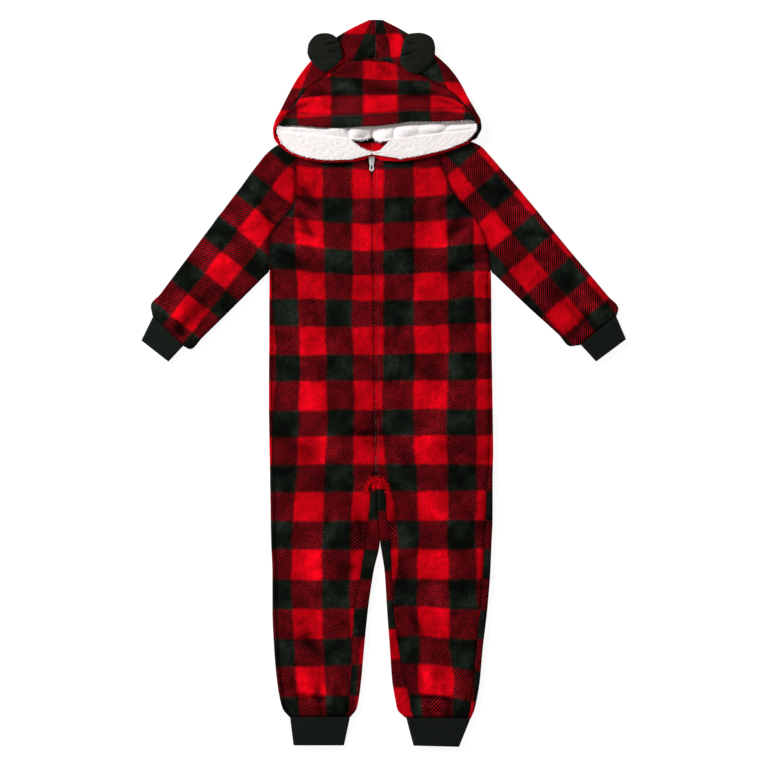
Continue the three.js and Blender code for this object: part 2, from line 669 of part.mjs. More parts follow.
function box(x0, x1, y0, y1, z0, z1) {
  const g = new THREE.BoxGeometry(x1 - x0, y1 - y0, z1 - z0);
  g.translate((x0 + x1) / 2, (y0 + y1) / 2, (z0 + z1) / 2);
  return solidOf(g);
}

function meshOf(name, solid, material) {
  const out = solid.getMesh();
  const geometry = new THREE.BufferGeometry();
  geometry.setAttribute("position", new THREE.BufferAttribute(new Float32Array(out.vertProperties), 3));
  geometry.setIndex(new THREE.BufferAttribute(new Uint32Array(out.triVerts), 1));
  geometry.computeVertexNormals();
  const mesh = new THREE.Mesh(geometry, material);
  mesh.name = name;
  return mesh;
}

// An outline in X and Y with rounded corners, raised from z0 to z1
function plate(x, y0, y1, half, tip, z0, z1, holes = []) {
  const shape = new THREE.Shape();
  shape.moveTo(x - half, y1);
  shape.lineTo(x - tip, y0 + tip * 0.7);
  shape.quadraticCurveTo(x - tip, y0, x, y0);
  shape.quadraticCurveTo(x + tip, y0, x + tip, y0 + tip * 0.7);
  shape.lineTo(x + half, y1);
  shape.closePath();
  shape.holes.push(...holes);
  const g = new THREE.ExtrudeGeometry(shape, { depth: z1 - z0, bevelEnabled: false, curveSegments: 6 });
  g.translate(0, 0, z0);
  return solidOf(g);
}

function slider() {
  const x = zipX(PULL_AXIS.y);
  const top = plate(x, 371, 385.6, 5.5, 4.2, 6.6, 8.2);
  const bottom = plate(x, 371, 385.6, 5.2, 4, 3.3, 4.05);
  const post = box(x - 1.4, x + 1.4, 383.2, 385.4, 3.4, 8.1);
  const arch = box(x - 1, x + 1, 375, 381.6, 8.1, 12.2);
  const window = box(x - 2, x + 2, 376.2, 380.4, 8.2, 11.2);
  return meshOf("zip_slider", top.add(bottom).add(post).add(arch.subtract(window)), metal);
}

function pull() {
  const x = zipX(PULL_AXIS.y);
  const slot = new THREE.Path();
  slot.moveTo(x - 1.7, 373.8);
  slot.lineTo(x + 1.7, 373.8);
  slot.lineTo(x + 1.7, 377.7);
  slot.lineTo(x - 1.7, 377.7);
  slot.closePath();
  const eye = new THREE.Path();
  eye.absellipse(x, 366.5, 1.5, 3.6, 0, 2 * Math.PI, true);
  return meshOf("zip_pull", plate(x, 359.6, 378.9, 3.4, 4, 9.3, 10.5, [slot, eye]), metal);
}

const group = new THREE.Group();
const left = bodyRows(BODY_LEFT, 1);
const right = bodyRows(BODY_RIGHT, -1);
group.add(
  wall("front_left", plush, left.front, CLOTH),
  wall("front_right", plush, right.front, CLOTH),
  wall("back_left", plush, left.back, CLOTH),
  wall("back_right", plush, right.back, CLOTH),
  wall("sleeve_left", plush, sleeveRows(SLEEVE_LEFT, 1), CLOTH),
  wall("sleeve_right", plush, sleeveRows(SLEEVE_RIGHT, -1), CLOTH),
  wall("hood_back_left", plush, hoodRows(HOOD_LEFT, 1), CLOTH),
  wall("hood_back_right", plush, hoodRows(HOOD_RIGHT, -1), CLOTH),
  wall("lining_left", sherpa, liningRows(LINING_LEFT, 1), (i) => LINING_LEFT[i].thick),
  wall("lining_right", sherpa, liningRows(LINING_RIGHT, -1), (i) => LINING_RIGHT[i].thick),
  band(),
  rimLining(),
  ear("ear_left", -99.5, 561, -1.1, 10.6),
  ear("ear_right", 59, 560, Math.PI + 1.1, 10.6),
  tape("zip_tape_left", 1),
  tape("zip_tape_right", -1),
  slider(),
  pull(),
);
for (const c of CUFFS) {
  group.add(cuff(c));
}

// The origin is under the middle of the whole garment
const bounds = new THREE.Box3().setFromObject(group);
const middle = bounds.getCenter(new THREE.Vector3());
group.position.set(-middle.x, -middle.y, -bounds.min.z);

export default group;
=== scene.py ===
"""Child's hooded one-piece pyjama in plush check, laid flat on its back.

Sizes in the tables are millimetres in the garment's own drawing frame. X runs across the chest, Y from the
feet to the hood and Z up from the floor.
"""

import logging
import math
from dataclasses import dataclass, field
from enum import Enum
from typing import Callable, Iterable, Sequence

import bpy
import numpy as np
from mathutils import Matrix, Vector


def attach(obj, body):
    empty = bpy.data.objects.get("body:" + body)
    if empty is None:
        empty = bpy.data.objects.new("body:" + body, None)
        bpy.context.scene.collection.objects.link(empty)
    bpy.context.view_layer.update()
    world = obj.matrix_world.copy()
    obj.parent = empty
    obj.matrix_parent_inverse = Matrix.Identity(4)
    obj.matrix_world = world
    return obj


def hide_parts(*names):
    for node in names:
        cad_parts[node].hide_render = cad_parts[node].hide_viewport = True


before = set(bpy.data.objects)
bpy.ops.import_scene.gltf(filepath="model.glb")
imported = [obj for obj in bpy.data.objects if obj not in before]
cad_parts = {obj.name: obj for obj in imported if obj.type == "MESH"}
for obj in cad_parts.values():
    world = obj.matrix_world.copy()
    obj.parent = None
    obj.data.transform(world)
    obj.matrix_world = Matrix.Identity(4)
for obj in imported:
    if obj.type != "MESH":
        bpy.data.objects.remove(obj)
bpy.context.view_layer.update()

LOG = logging.getLogger("pyjama")

MM = 0.001
SHIFT = np.array([0.5, 1.26, 0.0])  # from the drawing frame to the garment's own centre

CLOTH = 3.0  # plush wall
RIB = 2.6  # rib cuff wall
SEAM = 0.02  # each piece stops this far short of its seam line
LAP = 0.25  # the body's raglan edges reach this far into the seam
LAY = 0.35  # clearance between layers
FLAT = 8.2  # height of the two layers laid on each other
EDGE = 4.0  # radius of a folded side edge
LIFT = 9.0  # height at which the hood's front edge lies on the chest
TAPE = 0.9
ZIP_END = -42.0
ZIP_TOP = 382.8
ZIP_FOOT = -60.0  # below this height the zip has no effect on the folds
CROTCH = -160.0
ARCH_FOOT = -181.0  # the red pile round the crotch ends here
SQUARE = 49.0
FAR = 1e9
TUFT = np.linspace(0, 1, 4)  # places along a tuft of pile

Array = np.ndarray
Check = Callable[[Array, Array, Array], tuple[Array, Array]]
Height = Callable[[Array], Array]
Solid = tuple[Array, list]


class Slot(Enum):
    """The record's material slots."""

    PLUSH = "plush_check"
    SHERPA = "sherpa_lining"
    RIB = "rib_knit"
    EAR = "ear_plush"
    TAPE = "zip_tape"
    METAL = "zip_metal"


class Side(Enum):
    """Which half of the garment a piece belongs to, with the direction from its outer edge to the centre."""

    LEFT = 1
    RIGHT = -1

    @property
    def word(self) -> str:
        """The half's name in lower case."""
        return self.name.lower()


# Tables

# A row for each level, from the raglan seam down to the ankle.
# sideX sideY frontX frontY backX backY cut wrap inseam
BODY = {
    Side.LEFT: [
        (-150, 406, -58, 402, -20, 417, 1, 0, 0), (-149, 382, -44, 389, -20, 394, 1, 0, 0),
        (-149, 358, -29.5, 376, -20, 376, 1, 0, 0), (-149.4, 341, -23.6, 361, -20, 361, 1, 0, 0),
        (-150, 323, -21.6, 340, -20, 340, 1, 0, 0), (-157, 297, -21.2, 308, -19.6, 308, 1, 0, 0),
        (-174, 273, -20.9, 280, -19.3, 280, 1, 0, 0), (-193, 248, -20.6, 252, -19, 252, 1, 0, 0),
        (-194.5, 215, -20.2, 218, -18.6, 218, 1, 0, 0), (-195, 194, -20, 194, -18.4, 194, 1, 0, 0),
        (-195, 192, -20, 192, -18.4, 192, 2, 0, 0), (-195, 189.5, -19.9, 189.5, -18.3, 189.5, 0, 4.4, 0),
        (-195.5, 90, -18.8, 90, -17.2, 90, 0, 4.4, 0), (-196, -41, -17.2, -41, -15.6, -41, 0, 4.4, 0),
        (-195.5, -76, -15.6, -76, -15, -76, 0, 4.6, 0), (-195, -114, -14.2, -114, -14, -114, 0, 5, 0),
        (-194, -162, -13.7, -162, -13.5, -162, 0, 6, 0), (-194, -165, -14.2, -165, -13.3, -165, 0, 6, -1),
        (-194, -168, -19.5, -168, -13.2, -168, 0, 6, 7), (-193.5, -190, -23, -190, -12, -190, 0, 6, 11),
        (-193, -228, -26, -228, -9.75, -228, 0, 6, 16), (-192, -276, -32, -272, -6.9, -268, 0, 6, 24),
        (-190, -323, -39, -323, -18, -323, 0, 6, 21), (-190, -385, -50, -385, -27, -385, 0, 6, 23),
        (-187, -454, -54.5, -454, -34, -454, 0, 6, 20), (-182, -509, -57, -509, -39, -509, 0, 6, 18),
        (-177, -539, -58.5, -539, -43, -539, 0, 5, 15), (-172, -556, -60, -556, -47, -556, 0, 4.5, 13),
        (-161, -569, -66, -569, -57, -569, 0, 4.5, 9),
    ],
    Side.RIGHT: [
        (90, 406, 3, 402, -20, 417, 1, 0, 0), (94, 382, -4, 389, -20, 394, 1, 0, 0),
        (100, 362, -13, 376, -20, 376, 1, 0, 0), (108, 345, -17.6, 361, -20, 361, 1, 0, 0),
        (117, 328, -18.6, 340, -20, 340, 1, 0, 0), (134, 304, -18, 308, -19.6, 308, 1, 0, 0),
        (154, 280, -17.7, 280, -19.3, 280, 1, 0, 0), (171, 249, -17.4, 252, -19, 252, 1, 0, 0),
        (178, 219, -17, 218, -18.6, 218, 1, 0, 0), (181.5, 194, -16.8, 194, -18.4, 194, 1, 0, 0),
        (181.8, 192, -16.8, 192, -18.4, 192, 2, 0, 0), (182, 189.5, -16.7, 189.5, -18.3, 189.5, 0, 4.4, 0),
        (183, 90, -15.6, 90, -17.2, 90, 0, 4.4, 0), (185, -41, -14, -41, -15.6, -41, 0, 4.4, 0),
        (185.5, -76, -14.4, -76, -15, -76, 0, 5, 0), (186, -114, -13.8, -114, -14, -114, 0, 6, 0),
        (185, -162, -13.3, -162, -13.5, -162, 0, 8, 0), (185, -165, -12.8, -165, -13.3, -165, 0, 8.5, -1),
        (185, -168, -3.5, -168, -13.2, -168, 0, 9, 10), (185, -190, 3, -190, -12, -190, 0, 10, 15),
        (185, -228, 5, -228, -9.73, -228, 0, 11, 15), (183, -276, 11, -272, -6.85, -268, 0, 12, 18),
        (181, -323, 13.5, -323, 1, -323, 0, 12, 13), (176, -385, 17.5, -385, 5, -385, 0, 12, 13),
        (168, -454, 25.5, -454, 10, -454, 0, 11, 16), (163, -509, 37, -509, 14, -509, 0, 10, 23),
        (158, -539, 44, -539, 19, -539, 0, 9, 25), (154, -557, 46, -557, 23, -557, 0, 7, 23),
        (148, -571, 52, -570.5, 36, -570, 0, 5, 16),
    ],
}

# outerX outerY innerX innerY cut
SLEEVE = {
    Side.LEFT: [
        (-167, 411, -150, 406, 1), (-184, 403, -149, 382, 1), (-203, 387, -149, 358, 1),
        (-214, 373, -149.4, 341, 1), (-225, 359, -150, 323, 1), (-243, 334, -157, 297, 1),
        (-260, 312, -174, 273, 1), (-275, 292, -193, 248, 1), (-284, 281, -194.5, 215, 1),
        (-289, 274, -195, 194, 1), (-291, 271, -196, 189, 0), (-295.5, 265, -201.6, 183.4, 0),
        (-336, 211, -252, 133, 0), (-381, 151, -309, 77, 0), (-397, 130, -330, 57, 0),
        (-394, 113, -341, 62, 0),
    ],
    Side.RIGHT: [
        (107, 411, 90, 406, 1), (135, 413, 94, 382, 1), (163, 404, 100, 362, 1), (179, 388, 108, 345, 1),
        (199, 365, 117, 328, 1), (223, 338, 134, 304, 1), (243, 314, 154, 280, 1), (258, 296, 171, 249, 1),
        (267, 285, 178, 219, 1), (271, 279.5, 181.5, 194, 1), (273, 277, 183, 189, 0),
        (278.4, 270.5, 188.7, 183.5, 0), (327, 212, 240, 134, 0), (381, 148, 298, 81, 0),
        (399, 126, 318, 62, 0), (396, 114, 334, 64, 0),
    ],
}

# The two ends of each cuff's seam with the garment, then of its open edge
CUFFS = {
    "cuff_wrist_left": (-393.5, 112.1, -342, 62.5, -413, 72, -367, 36),
    "cuff_wrist_right": (395.4, 113.1, 335.1, 64.4, 412, 74, 361, 36),
    "cuff_ankle_left": (-160, -569.4, -58, -569.4, -154, -617, -68, -617),
    "cuff_ankle_right": (38, -570.8, 147, -571.8, 50, -617.5, 128, -619.5),
}

# edgeX edgeY midX midY seamX seamY liftEdge liftMid high; a row without a seam is part of the lip
HOOD = {
    Side.LEFT: [
        (-27, 617, -14, 618, -14, 617.4, 0, 0, 8.4), (-54, 604, -14, 589, -14, 594, 0, 0, 9),
        (-87, 584, -14, 560, -14, 572, 0, 0, 9.6), (-112, 561, -14, 528, -27, 553, 0, 0, 9.8),
        (-133, 538, -14, 501, -62, 549, 0, 0, 9.8), (-150, 514, -14, 479, -98, 524, 0, 0, 10.4),
        (-165, 486, -14, 459, -132, 500, 0, 0, 12.2), (-177, 462, -14, 443, -152, 474, 0, 0, 14),
        (-186, 444, -14, 430, -168, 453, 1, 0, 15.6), (-189, 431, -14, 418, -181, 436, 4.5, 0, 13),
        (-189, 425, -56, 417, -185, 428, 7, 3, 9.5), (-188, 419, -59, 412.5, 0, 0, LIFT, LIFT, 7),
        (-181, 406, -50, 408, 0, 0, LIFT, LIFT, 7), (-170, 396, -42, 402, 0, 0, LIFT, LIFT, 7),
        (-153, 386, -33, 397, 0, 0, LIFT, LIFT, 7), (-129, 379, -27, 394, 0, 0, LIFT, LIFT, 7),
        (-92, 374.5, -21.2, 393, 0, 0, LIFT, LIFT, 7), (-54, 376, -21.2, 388, 0, 0, LIFT, LIFT, 7),
        (-33, 379.5, -21.2, 387, 0, 0, LIFT, LIFT, 6),
    ],
    Side.RIGHT: [
        (-1, 617, -14, 618, -14, 617.4, 0, 0, 8.4), (28, 602, -14, 589, -14, 594, 0, 0, 9),
        (61, 581, -14, 560, -14, 572, 0, 0, 9.6), (89, 557, -14, 528, 3, 548, 0, 0, 9.8),
        (113, 534, -14, 501, 42, 536, 0, 0, 9.8), (129, 512, -14, 479, 82, 515, 0, 0, 10.4),
        (144, 484, -14, 459, 118, 494, 0, 0, 12.2), (156, 463, -14, 443, 136, 475, 0, 0, 14),
        (165, 445, -14, 430, 150, 458, 1, 0, 15.6), (166, 433, -14, 418, 159, 440, 4.5, 0, 13),
        (164, 427, 30, 418, 160, 430, 7, 3, 9.5), (160, 420, 29, 413, 0, 0, LIFT, LIFT, 7),
        (146, 409, 7, 407, 0, 0, LIFT, LIFT, 7), (129, 401, 1, 401, 0, 0, LIFT, LIFT, 7),
        (107, 393, -4, 395, 0, 0, LIFT, LIFT, 7), (84, 387, -11, 393, 0, 0, LIFT, LIFT, 7),
        (58, 381, -20.2, 392.6, 0, 0, LIFT, LIFT, 7), (26, 376.5, -20.2, 388, 0, 0, LIFT, LIFT, 7),
        (-5, 377.5, -20.2, 387, 0, 0, LIFT, LIFT, 6),
    ],
}

# edgeX edgeY midX midY zEdge zMid thick
LINING = {
    Side.LEFT: [
        (-118, 508, -14, 514, 3, 3, 3.6), (-146, 484, -14, 480, 3, 3, 4.2),
        (-164, 458, -14, 448, 3, 3, 4.2), (-175, 445, -14, 430, 4, 3, 4.2),
        (-179, 436, -20, 420, 7, 3.4, 4.2), (-180, 431.5, -33, 415, 9.5, 4.5, 4.2),
        (-180.2, 428, -46, 413, 11, 9, 4.2), (-180, 425, -56, 414, 12, 12, 4.2),
        (-178, 418, -53, 409.5, 12, 12, 4.2), (-174, 409, -48, 405.5, 12, 12, 4.2),
        (-165, 399.5, -41, 400, 12, 12, 4.2), (-150, 390, -33, 395.5, 12, 12, 4.2),
        (-128, 383.5, -27, 392.8, 12, 12, 4.2), (-92, 379, -21.4, 391.6, 12, 12, 4.0),
        (-54, 380, -21.4, 388, 12, 12, 3.4),
    ],
    Side.RIGHT: [
        (98, 504, -14, 514, 3, 3, 3.6), (127, 480, -14, 480, 3, 3, 4.2), (144, 460, -14, 448, 3, 3, 4.2),
        (154, 447, -14, 430, 4, 3, 4.2), (156.5, 438, -20, 420, 7, 3.4, 4.2),
        (157, 433, -9, 411.5, 9.6, 4.5, 4.2), (156, 429.5, 3, 411, 12, 10, 4.2),
        (154, 426.5, 11, 414, 12, 12, 4.2), (149, 420, 9, 409.5, 12, 12, 4.2),
        (140, 412, 5, 405, 12, 12, 4.2), (125, 405, -1, 399, 12, 12, 4.2), (104, 397, -6, 394, 12, 12, 4.2),
        (82, 391.5, -12, 391.8, 12, 12, 4.2), (57, 386, -19.9, 391.2, 12, 12, 4.0),
        (26, 381, -19.9, 388, 12, 12, 3.4),
    ],
}

# rimX rimY seamX seamY zRim zSeam, from the left corner of the mouth to the right one
BAND = [
    (-179, 438, -169.5, 450.5, 17.6, 15.8), (-163, 438, -152, 472, 18, 14.2),
    (-143, 437, -132, 499, 18.6, 12.2), (-109, 434, -98, 523, 19.4, 10.4), (-75, 433, -62, 548, 20.2, 9.8),
    (-41, 435, -27, 552, 20.6, 9.8), (-14, 436, -12, 551, 20.8, 9.8), (19, 440, 3, 547, 20.6, 9.8),
    (53, 444, 42, 535, 20.2, 9.8), (87, 444, 82, 514, 19.4, 10.4), (121, 445, 117, 493, 18.6, 12.2),
    (143, 447, 135.5, 474, 18, 14.2), (157, 444, 149.5, 457, 17.6, 15.8),
]

# Broad folds of the top layer: x1 y1 x2 y2, half width and height
FOLDS = [
    (-168, 262, -92, 214, 16, 1.5), (-186, 226, -120, 188, 13, -1.4), (158, 262, 96, 218, 16, 1.5),
    (172, 226, 112, 186, 13, -1.4), (-60, -92, 6, -92, 14, -1.3), (-120, -60, -70, -160, 20, 1.2),
    (96, -40, 52, -150, 20, 1.2), (-150, 60, -120, -60, 22, 1.1), (120, 80, 140, -60, 22, 1.1),
    (-120, -250, -100, -430, 22, 1.3), (96, -250, 92, -430, 22, 1.3), (-160, -470, -120, -548, 14, 1.5),
    (-92, -480, -88, -552, 12, 1.4), (70, -480, 84, -552, 12, 1.4), (134, -470, 118, -550, 14, 1.5),
    (-232, 300, -300, 200, 20, 1.5), (-330, 170, -368, 108, 12, 1.5), (-292, 160, -340, 96, 12, -1.3),
    (216, 306, 290, 206, 20, 1.5), (326, 168, 366, 108, 12, 1.5), (282, 164, 334, 98, 12, -1.3),
]

# Finer creases over the folds, in the same columns
CREASES = [
    (-148, 338, -118, 306, 8, -1.6), (-146, 290, -120, 244, 8, -1.7), (132, 296, 112, 246, 8, -1.6),
    (-150, 318, -112, 300, 5, -1.5), (-146, 300, -96, 268, 6, 1.0), (-160, 262, -110, 250, 4.5, -1.2),
    (-176, 232, -128, 226, 5, 0.9), (-186, 206, -150, 210, 5, -1.2), (120, 316, 92, 296, 5, -1.1),
    (150, 268, 112, 258, 5, -1.3), (166, 236, 126, 228, 5, 1.0), (176, 208, 138, 206, 5, -1.1),
    (-44, -87, -2, -84, 3.2, -1.6), (-50, -97, 4, -94, 4, 0.9), (-30, -150, -6, -158, 4, -1.2),
    (-14, -150, -12, -166, 5, -1.2), (6, -152, 18, -128, 6, -0.9), (-62, -196, -34, -176, 7, 0.9),
    (22, -214, 12, -250, 6, -1.4), (40, -120, 34, -170, 8, -0.8), (60, -196, 98, -232, 7, 0.8),
    (120, -190, 150, -232, 8, -0.7), (-44, -232, -38, -268, 6, -1.2), (-148, 66, -128, 20, 9, 0.8),
    (-120, 40, -84, -30, 9, -0.7), (44, -250, 62, -258, 5, -0.8), (26, -300, 40, -344, 7, -0.8),
    (48, -396, 66, -432, 7, -1.4), (34, -424, 52, -470, 6, 0.9), (-134, -436, -112, -460, 8, -1.5),
    (-104, -446, -88, -470, 7, 0.9), (-160, -486, -146, -536, 5.5, -1.2), (-132, -498, -122, -556, 5, 1.4),
    (-114, -516, -108, -562, 4.5, -1.6), (-100, -500, -94, -562, 4.5, 1.3), (-82, -512, -84, -560, 5, -1.5),
    (-66, -520, -70, -562, 4.5, 1.2), (-148, -533, -94, -536, 4, -2.4), (-150, -547, -92, -549, 4.5, 1.6),
    (58, -533, 116, -538, 4, -2.4), (56, -549, 118, -552, 4.5, 1.6), (-160, -440, -120, -428, 7, -1.2),
    (52, -350, 92, -330, 8, -1.0), (-84, -330, -48, -310, 7, -1.0), (100, -110, 170, -126, 9, -1.1),
    (-176, -96, -120, -120, 9, -1.0), (54, -480, 66, -520, 6, -1.3), (58, -528, 64, -566, 5, 1.3),
    (76, -536, 78, -568, 4.5, -1.5), (96, -508, 94, -566, 5, 1.2), (112, -538, 108, -568, 4.5, -1.6),
    (128, -506, 122, -566, 5, 1.4), (142, -528, 136, -566, 4.5, -1.2), (-236, 330, -196, 300, 7, -0.9),
    (-262, 250, -224, 262, 7, -0.8), (-300, 222, -270, 206, 7, 0.9), (-318, 150, -300, 118, 6, -0.9),
    (-362, 130, -376, 112, 5, -1.4), (-346, 122, -362, 96, 4.5, 1.4), (-334, 110, -350, 86, 4.5, -1.5),
    (-322, 94, -340, 74, 4.5, 1.1), (-384, 140, -390, 122, 4.5, 1.1), (-366, 108, -338, 80, 5, -2.2),
    (-376, 122, -352, 98, 4, 1.5), (352, 120, 328, 92, 5, -2.0), (364, 128, 340, 100, 4, 1.4),
    (-218, 352, -186, 322, 8, -1.3), (-206, 300, -186, 262, 7, -1.5), (206, 330, 184, 290, 8, -1.4),
    (196, 340, 224, 306, 8, -1.0), (236, 262, 262, 246, 7, 0.9), (256, 214, 286, 214, 7, -0.9),
    (300, 140, 318, 108, 6, 0.8), (354, 136, 372, 116, 5, 1.3), (340, 122, 358, 100, 4.5, -1.6),
    (326, 104, 346, 84, 4.5, 1.3), (378, 138, 388, 124, 4.5, -1.2), (310, 86, 330, 74, 4.5, -1.1),
]

# Creases on the underside, raised into the garment
BACK_CREASES = [
    (-150, 300, -60, 250, 10, 1.2), (140, 290, 60, 240, 10, 1.1), (-120, 60, -40, 30, 14, 0.9),
    (120, 40, 50, -20, 14, 1.0), (-90, -90, -20, -110, 12, 1.2), (80, -100, 10, -120, 12, 1.1),
    (-130, -260, -70, -330, 12, 1.1), (120, -250, 70, -340, 12, 1.0), (-150, -480, -140, -550, 7, 1.3),
    (-110, -500, -106, -556, 7, 1.2), (70, -500, 78, -556, 7, 1.3), (120, -480, 114, -556, 7, 1.1),
    (-300, 200, -250, 210, 10, 1.0), (-360, 120, -340, 90, 6, 1.3), (300, 200, 250, 200, 10, 1.0),
    (350, 120, 335, 92, 6, 1.3), (-110, 540, -50, 560, 12, 1.2), (-120, 470, -60, 450, 14, 1.1),
    (90, 530, 30, 560, 12, 1.1), (100, 460, 40, 450, 14, 1.2),
]

# Folds of the hood's crown and band: x1 y1 x2 y2, half width and height
HOOD_FOLDS = [
    (-150, 470, -178, 440, 5, -1.2), (-136, 506, -160, 470, 7, 0.9), (-70, 556, -104, 590, 7, -1.0),
    (-16, 604, -30, 570, 6, 0.9), (12, 596, 2, 562, 5, -1.2), (24, 590, 26, 560, 6, 1.0),
    (96, 540, 124, 506, 7, -0.9), (120, 500, 150, 468, 6, 1.0), (146, 476, 160, 446, 5, -1.1),
]
BAND_FOLDS = [
    (-164, 456, -120, 480, 5, -1.8), (-150, 474, -96, 486, 6, 1.4), (-124, 490, -40, 489, 6, -2.2),
    (-96, 506, -40, 500, 8, 1.6), (-60, 474, 10, 480, 9, 1.2), (-84, 524, -44, 534, 6, -1.3),
    (-24, 500, 30, 494, 6, -1.7), (0, 514, 50, 512, 8, 1.5), (30, 484, 100, 496, 5.5, -2.0),
    (56, 506, 118, 492, 6, 1.5), (92, 482, 140, 464, 5, -1.6), (-14, 548, 4, 528, 6, -1.2),
    (60, 528, 96, 504, 5, -1.2),
]

# Soft lobes of the lining at the back of the neck: x y, half sizes and height
LOBES = [
    (-78, 430, 22, 13, 4.6), (-46, 422, 15, 11, 6.4), (0, 420, 17, 12, 6.6), (38, 428, 20, 12, 5.4),
    (82, 434, 24, 14, 4.4),
]
# Troughs between the lobes: x1 y1 x2 y2, half width and height; the lining's colour gets painted shade in
# them
LOBE_GAPS = [
    (-63, 438, -58, 416, 3.2, -3.4), (-21, 438, -20, 414, 2.4, -4.4), (18, 436, 16, 414, 3.0, -2.6),
    (60, 440, 58, 422, 3.0, -1.8), (112, 441, 98, 422, 4.5, -3.0), (98, 434, 96, 402, 2.6, -1.4),
    (-172, 434, -145, 416, 4.0, -1.8),
]

COLUMNS = [
    (330, -200, -152, -105, -53, -0.5, 51, 107, 150, 198),
    (250, -198, -151, -102, -53, -0.5, 52, 108, 154, 203),
    (100, -186, -144, -99, -53, -0.5, 52.5, 108.5, 156, 205),
    (27, -184, -142, -97, -51, -1, 53, 109, 158, 206),
    (-67, -189.5, -144.5, -96, -51, -4, 52, 108, 158, 206),
    (-120, -192, -147, -98, -51, 1, 54, 108, 158, 206),
    (-160, -195, -148.5, -101, -51, 8, 56, 109, 159, 207),
    (-258, -203, -155.5, -104, -56.5, 24, 60, 109, 156.5, 205),
    (-305, -204, -156, -105, -57, 25, 57, 109, 158, 206),
    (-358, -205, -156, -106.5, -58, 16, 57, 110, 159, 207),
    (-456, -200, -151, -102.5, -54, 22, 61.5, 113, 163, 211),
    (-499, -198, -150, -101, -56.5, 32, 57.5, 118.5, 166, 214),
    (-560, -192, -143.5, -97, -59, 40, 65.5, 117, 165, 213),
]
# Row edges of the check, numbered upward: number, then Y at five places across
ROW_PLACES = (-175.0, -110.0, -30.0, 80.0, 150.0)
ROWS = [
    (3, 421, 414, 412, 414, 421), (2, 372, 366, 364, 366, 372), (1, 324, 316, 315.5, 319, 324),
    (0, 286, 275, 270.5, 276, 284), (-1, 240, 231, 225, 231, 238), (-2, 194, 189, 183.5, 188, 191.5),
    (-3, 145, 143.5, 142, 142, 146), (-4, 98.5, 97, 95.5, 99, 102), (-5, 49, 49, 49, 51, 53),
    (-6, 4, 4, 4, 5, 5.5), (-7, -46, -46, -44, -43, -43), (-8, -91, -90, -89, -88, -88),
    (-9, -138, -137.5, -137, -137, -137), (-10, -184.5, -184.5, -184, -183, -183),
    (-11, -234.5, -234.5, -234, -233, -233), (-12, -283.5, -283, -283, -282, -282),
    (-13, -333.5, -333.5, -333, -332, -332), (-14, -385, -384.5, -381, -381, -385.5),
    (-15, -435, -434.5, -431, -430, -436), (-16, -483, -482, -476, -477, -488),
    (-17, -533, -532, -529, -529, -541), (-18, -583, -582, -579, -580, -592),
]

# Middle of a square of each sleeve's check, the ways across and along it, and the two pitches
SLEEVE_CHECK = {
    Side.LEFT: ((-222.5, 328.6), (0.785, -0.62), (0.62, 0.785), (45.5, 46.0)),
    Side.RIGHT: ((188.9, 326.6), (0.763, 0.647), (-0.647, 0.764), (46.0, 48.0)),
}

# Corners of each ear's outline
EARS = {
    Side.LEFT: [
        (-94, 530), (-107, 531), (-122, 544), (-129.5, 557), (-130, 567), (-127, 579), (-116, 591),
        (-100, 594.5), (-86, 591), (-77, 581), (-72.5, 569), (-71, 556), (-77, 543),
    ],
    Side.RIGHT: [
        (59, 526), (70, 535), (83, 546), (86.5, 558), (86.5, 574), (81, 587), (67, 594), (51, 594.5),
        (39, 591), (33, 578), (29, 562), (27, 548), (33, 536), (46, 527),
    ],
}

# Gathers of each ear, in the columns of the folds
PLEATS = {
    Side.LEFT: [
        (-74, 578, -101, 573, 2.3, -3.9), (-72, 556, -93, 563, 1.8, -4.2), (-78, 550, -104, 548, 3.4, -1.3),
        (-76, 568, -104, 571, 3.4, 1.2), (-88, 540, -106, 554, 4, 1.0),
    ],
    Side.RIGHT: [
        (28, 579, 55, 573, 2.3, -3.9), (26, 555, 50, 560, 1.8, -4.2), (34, 546, 60, 550, 3.6, -1.3),
        (30, 568, 60, 566, 3.4, 1.2), (46, 534, 62, 548, 4, 1.0),
    ],
}

# Arithmetic


def smooth(t: Array | float) -> Array:
    """A soft step from 0 to 1."""
    t = np.clip(t, 0.0, 1.0)
    return t * t * (3.0 - 2.0 * t)


def hill(distance: Array, wide: float) -> Array:
    """A soft ridge of height 1 where the distance is 0."""
    return np.exp(-((distance / wide) ** 2))


def between(a: Sequence[float], b: Sequence[float], shares: Array) -> Array:
    """Points at these shares of the way from a to b."""
    return np.outer(1 - shares, a) + np.outer(shares, b)


def climb(low: float, high: float, rate: float) -> Height:
    """Height that goes from low to high, and the sooner the higher the rate."""
    return lambda s: low + (high - low) * smooth(rate * s)


def zip_x(y: Array | float) -> Array:
    """X of the zip's line, and of the centre seam under it.

    Args:
        y: Height on the garment.

    Returns:
        X at each height.
    """
    y = np.asarray(y, dtype=float)
    upper = -19.5 - 1.5 * (y - 300) / 83
    lower = -15.6 - 3.9 * (y + 43) / 343
    return np.where(y > 300, upper, lower)


def fold_sum(x: Array, y: Array, folds: Sequence[tuple[float, ...]]) -> Array:
    """Adds up soft ridges and troughs.

    Args:
        x: X of each point.
        y: Y of each point.
        folds: Rows of x1, y1, x2, y2, half width and height.

    Returns:
        The height at each point.
    """
    total = np.zeros(np.shape(x))
    for x1, y1, x2, y2, wide, high in folds:
        dx, dy = x2 - x1, y2 - y1
        near = np.clip(((x - x1) * dx + (y - y1) * dy) / (dx * dx + dy * dy), 0, 1)
        away = np.hypot(x - x1 - near * dx, y - y1 - near * dy)
        total += high * hill(away, wide) * np.sin(math.pi * (0.15 + 0.7 * near))
    return total


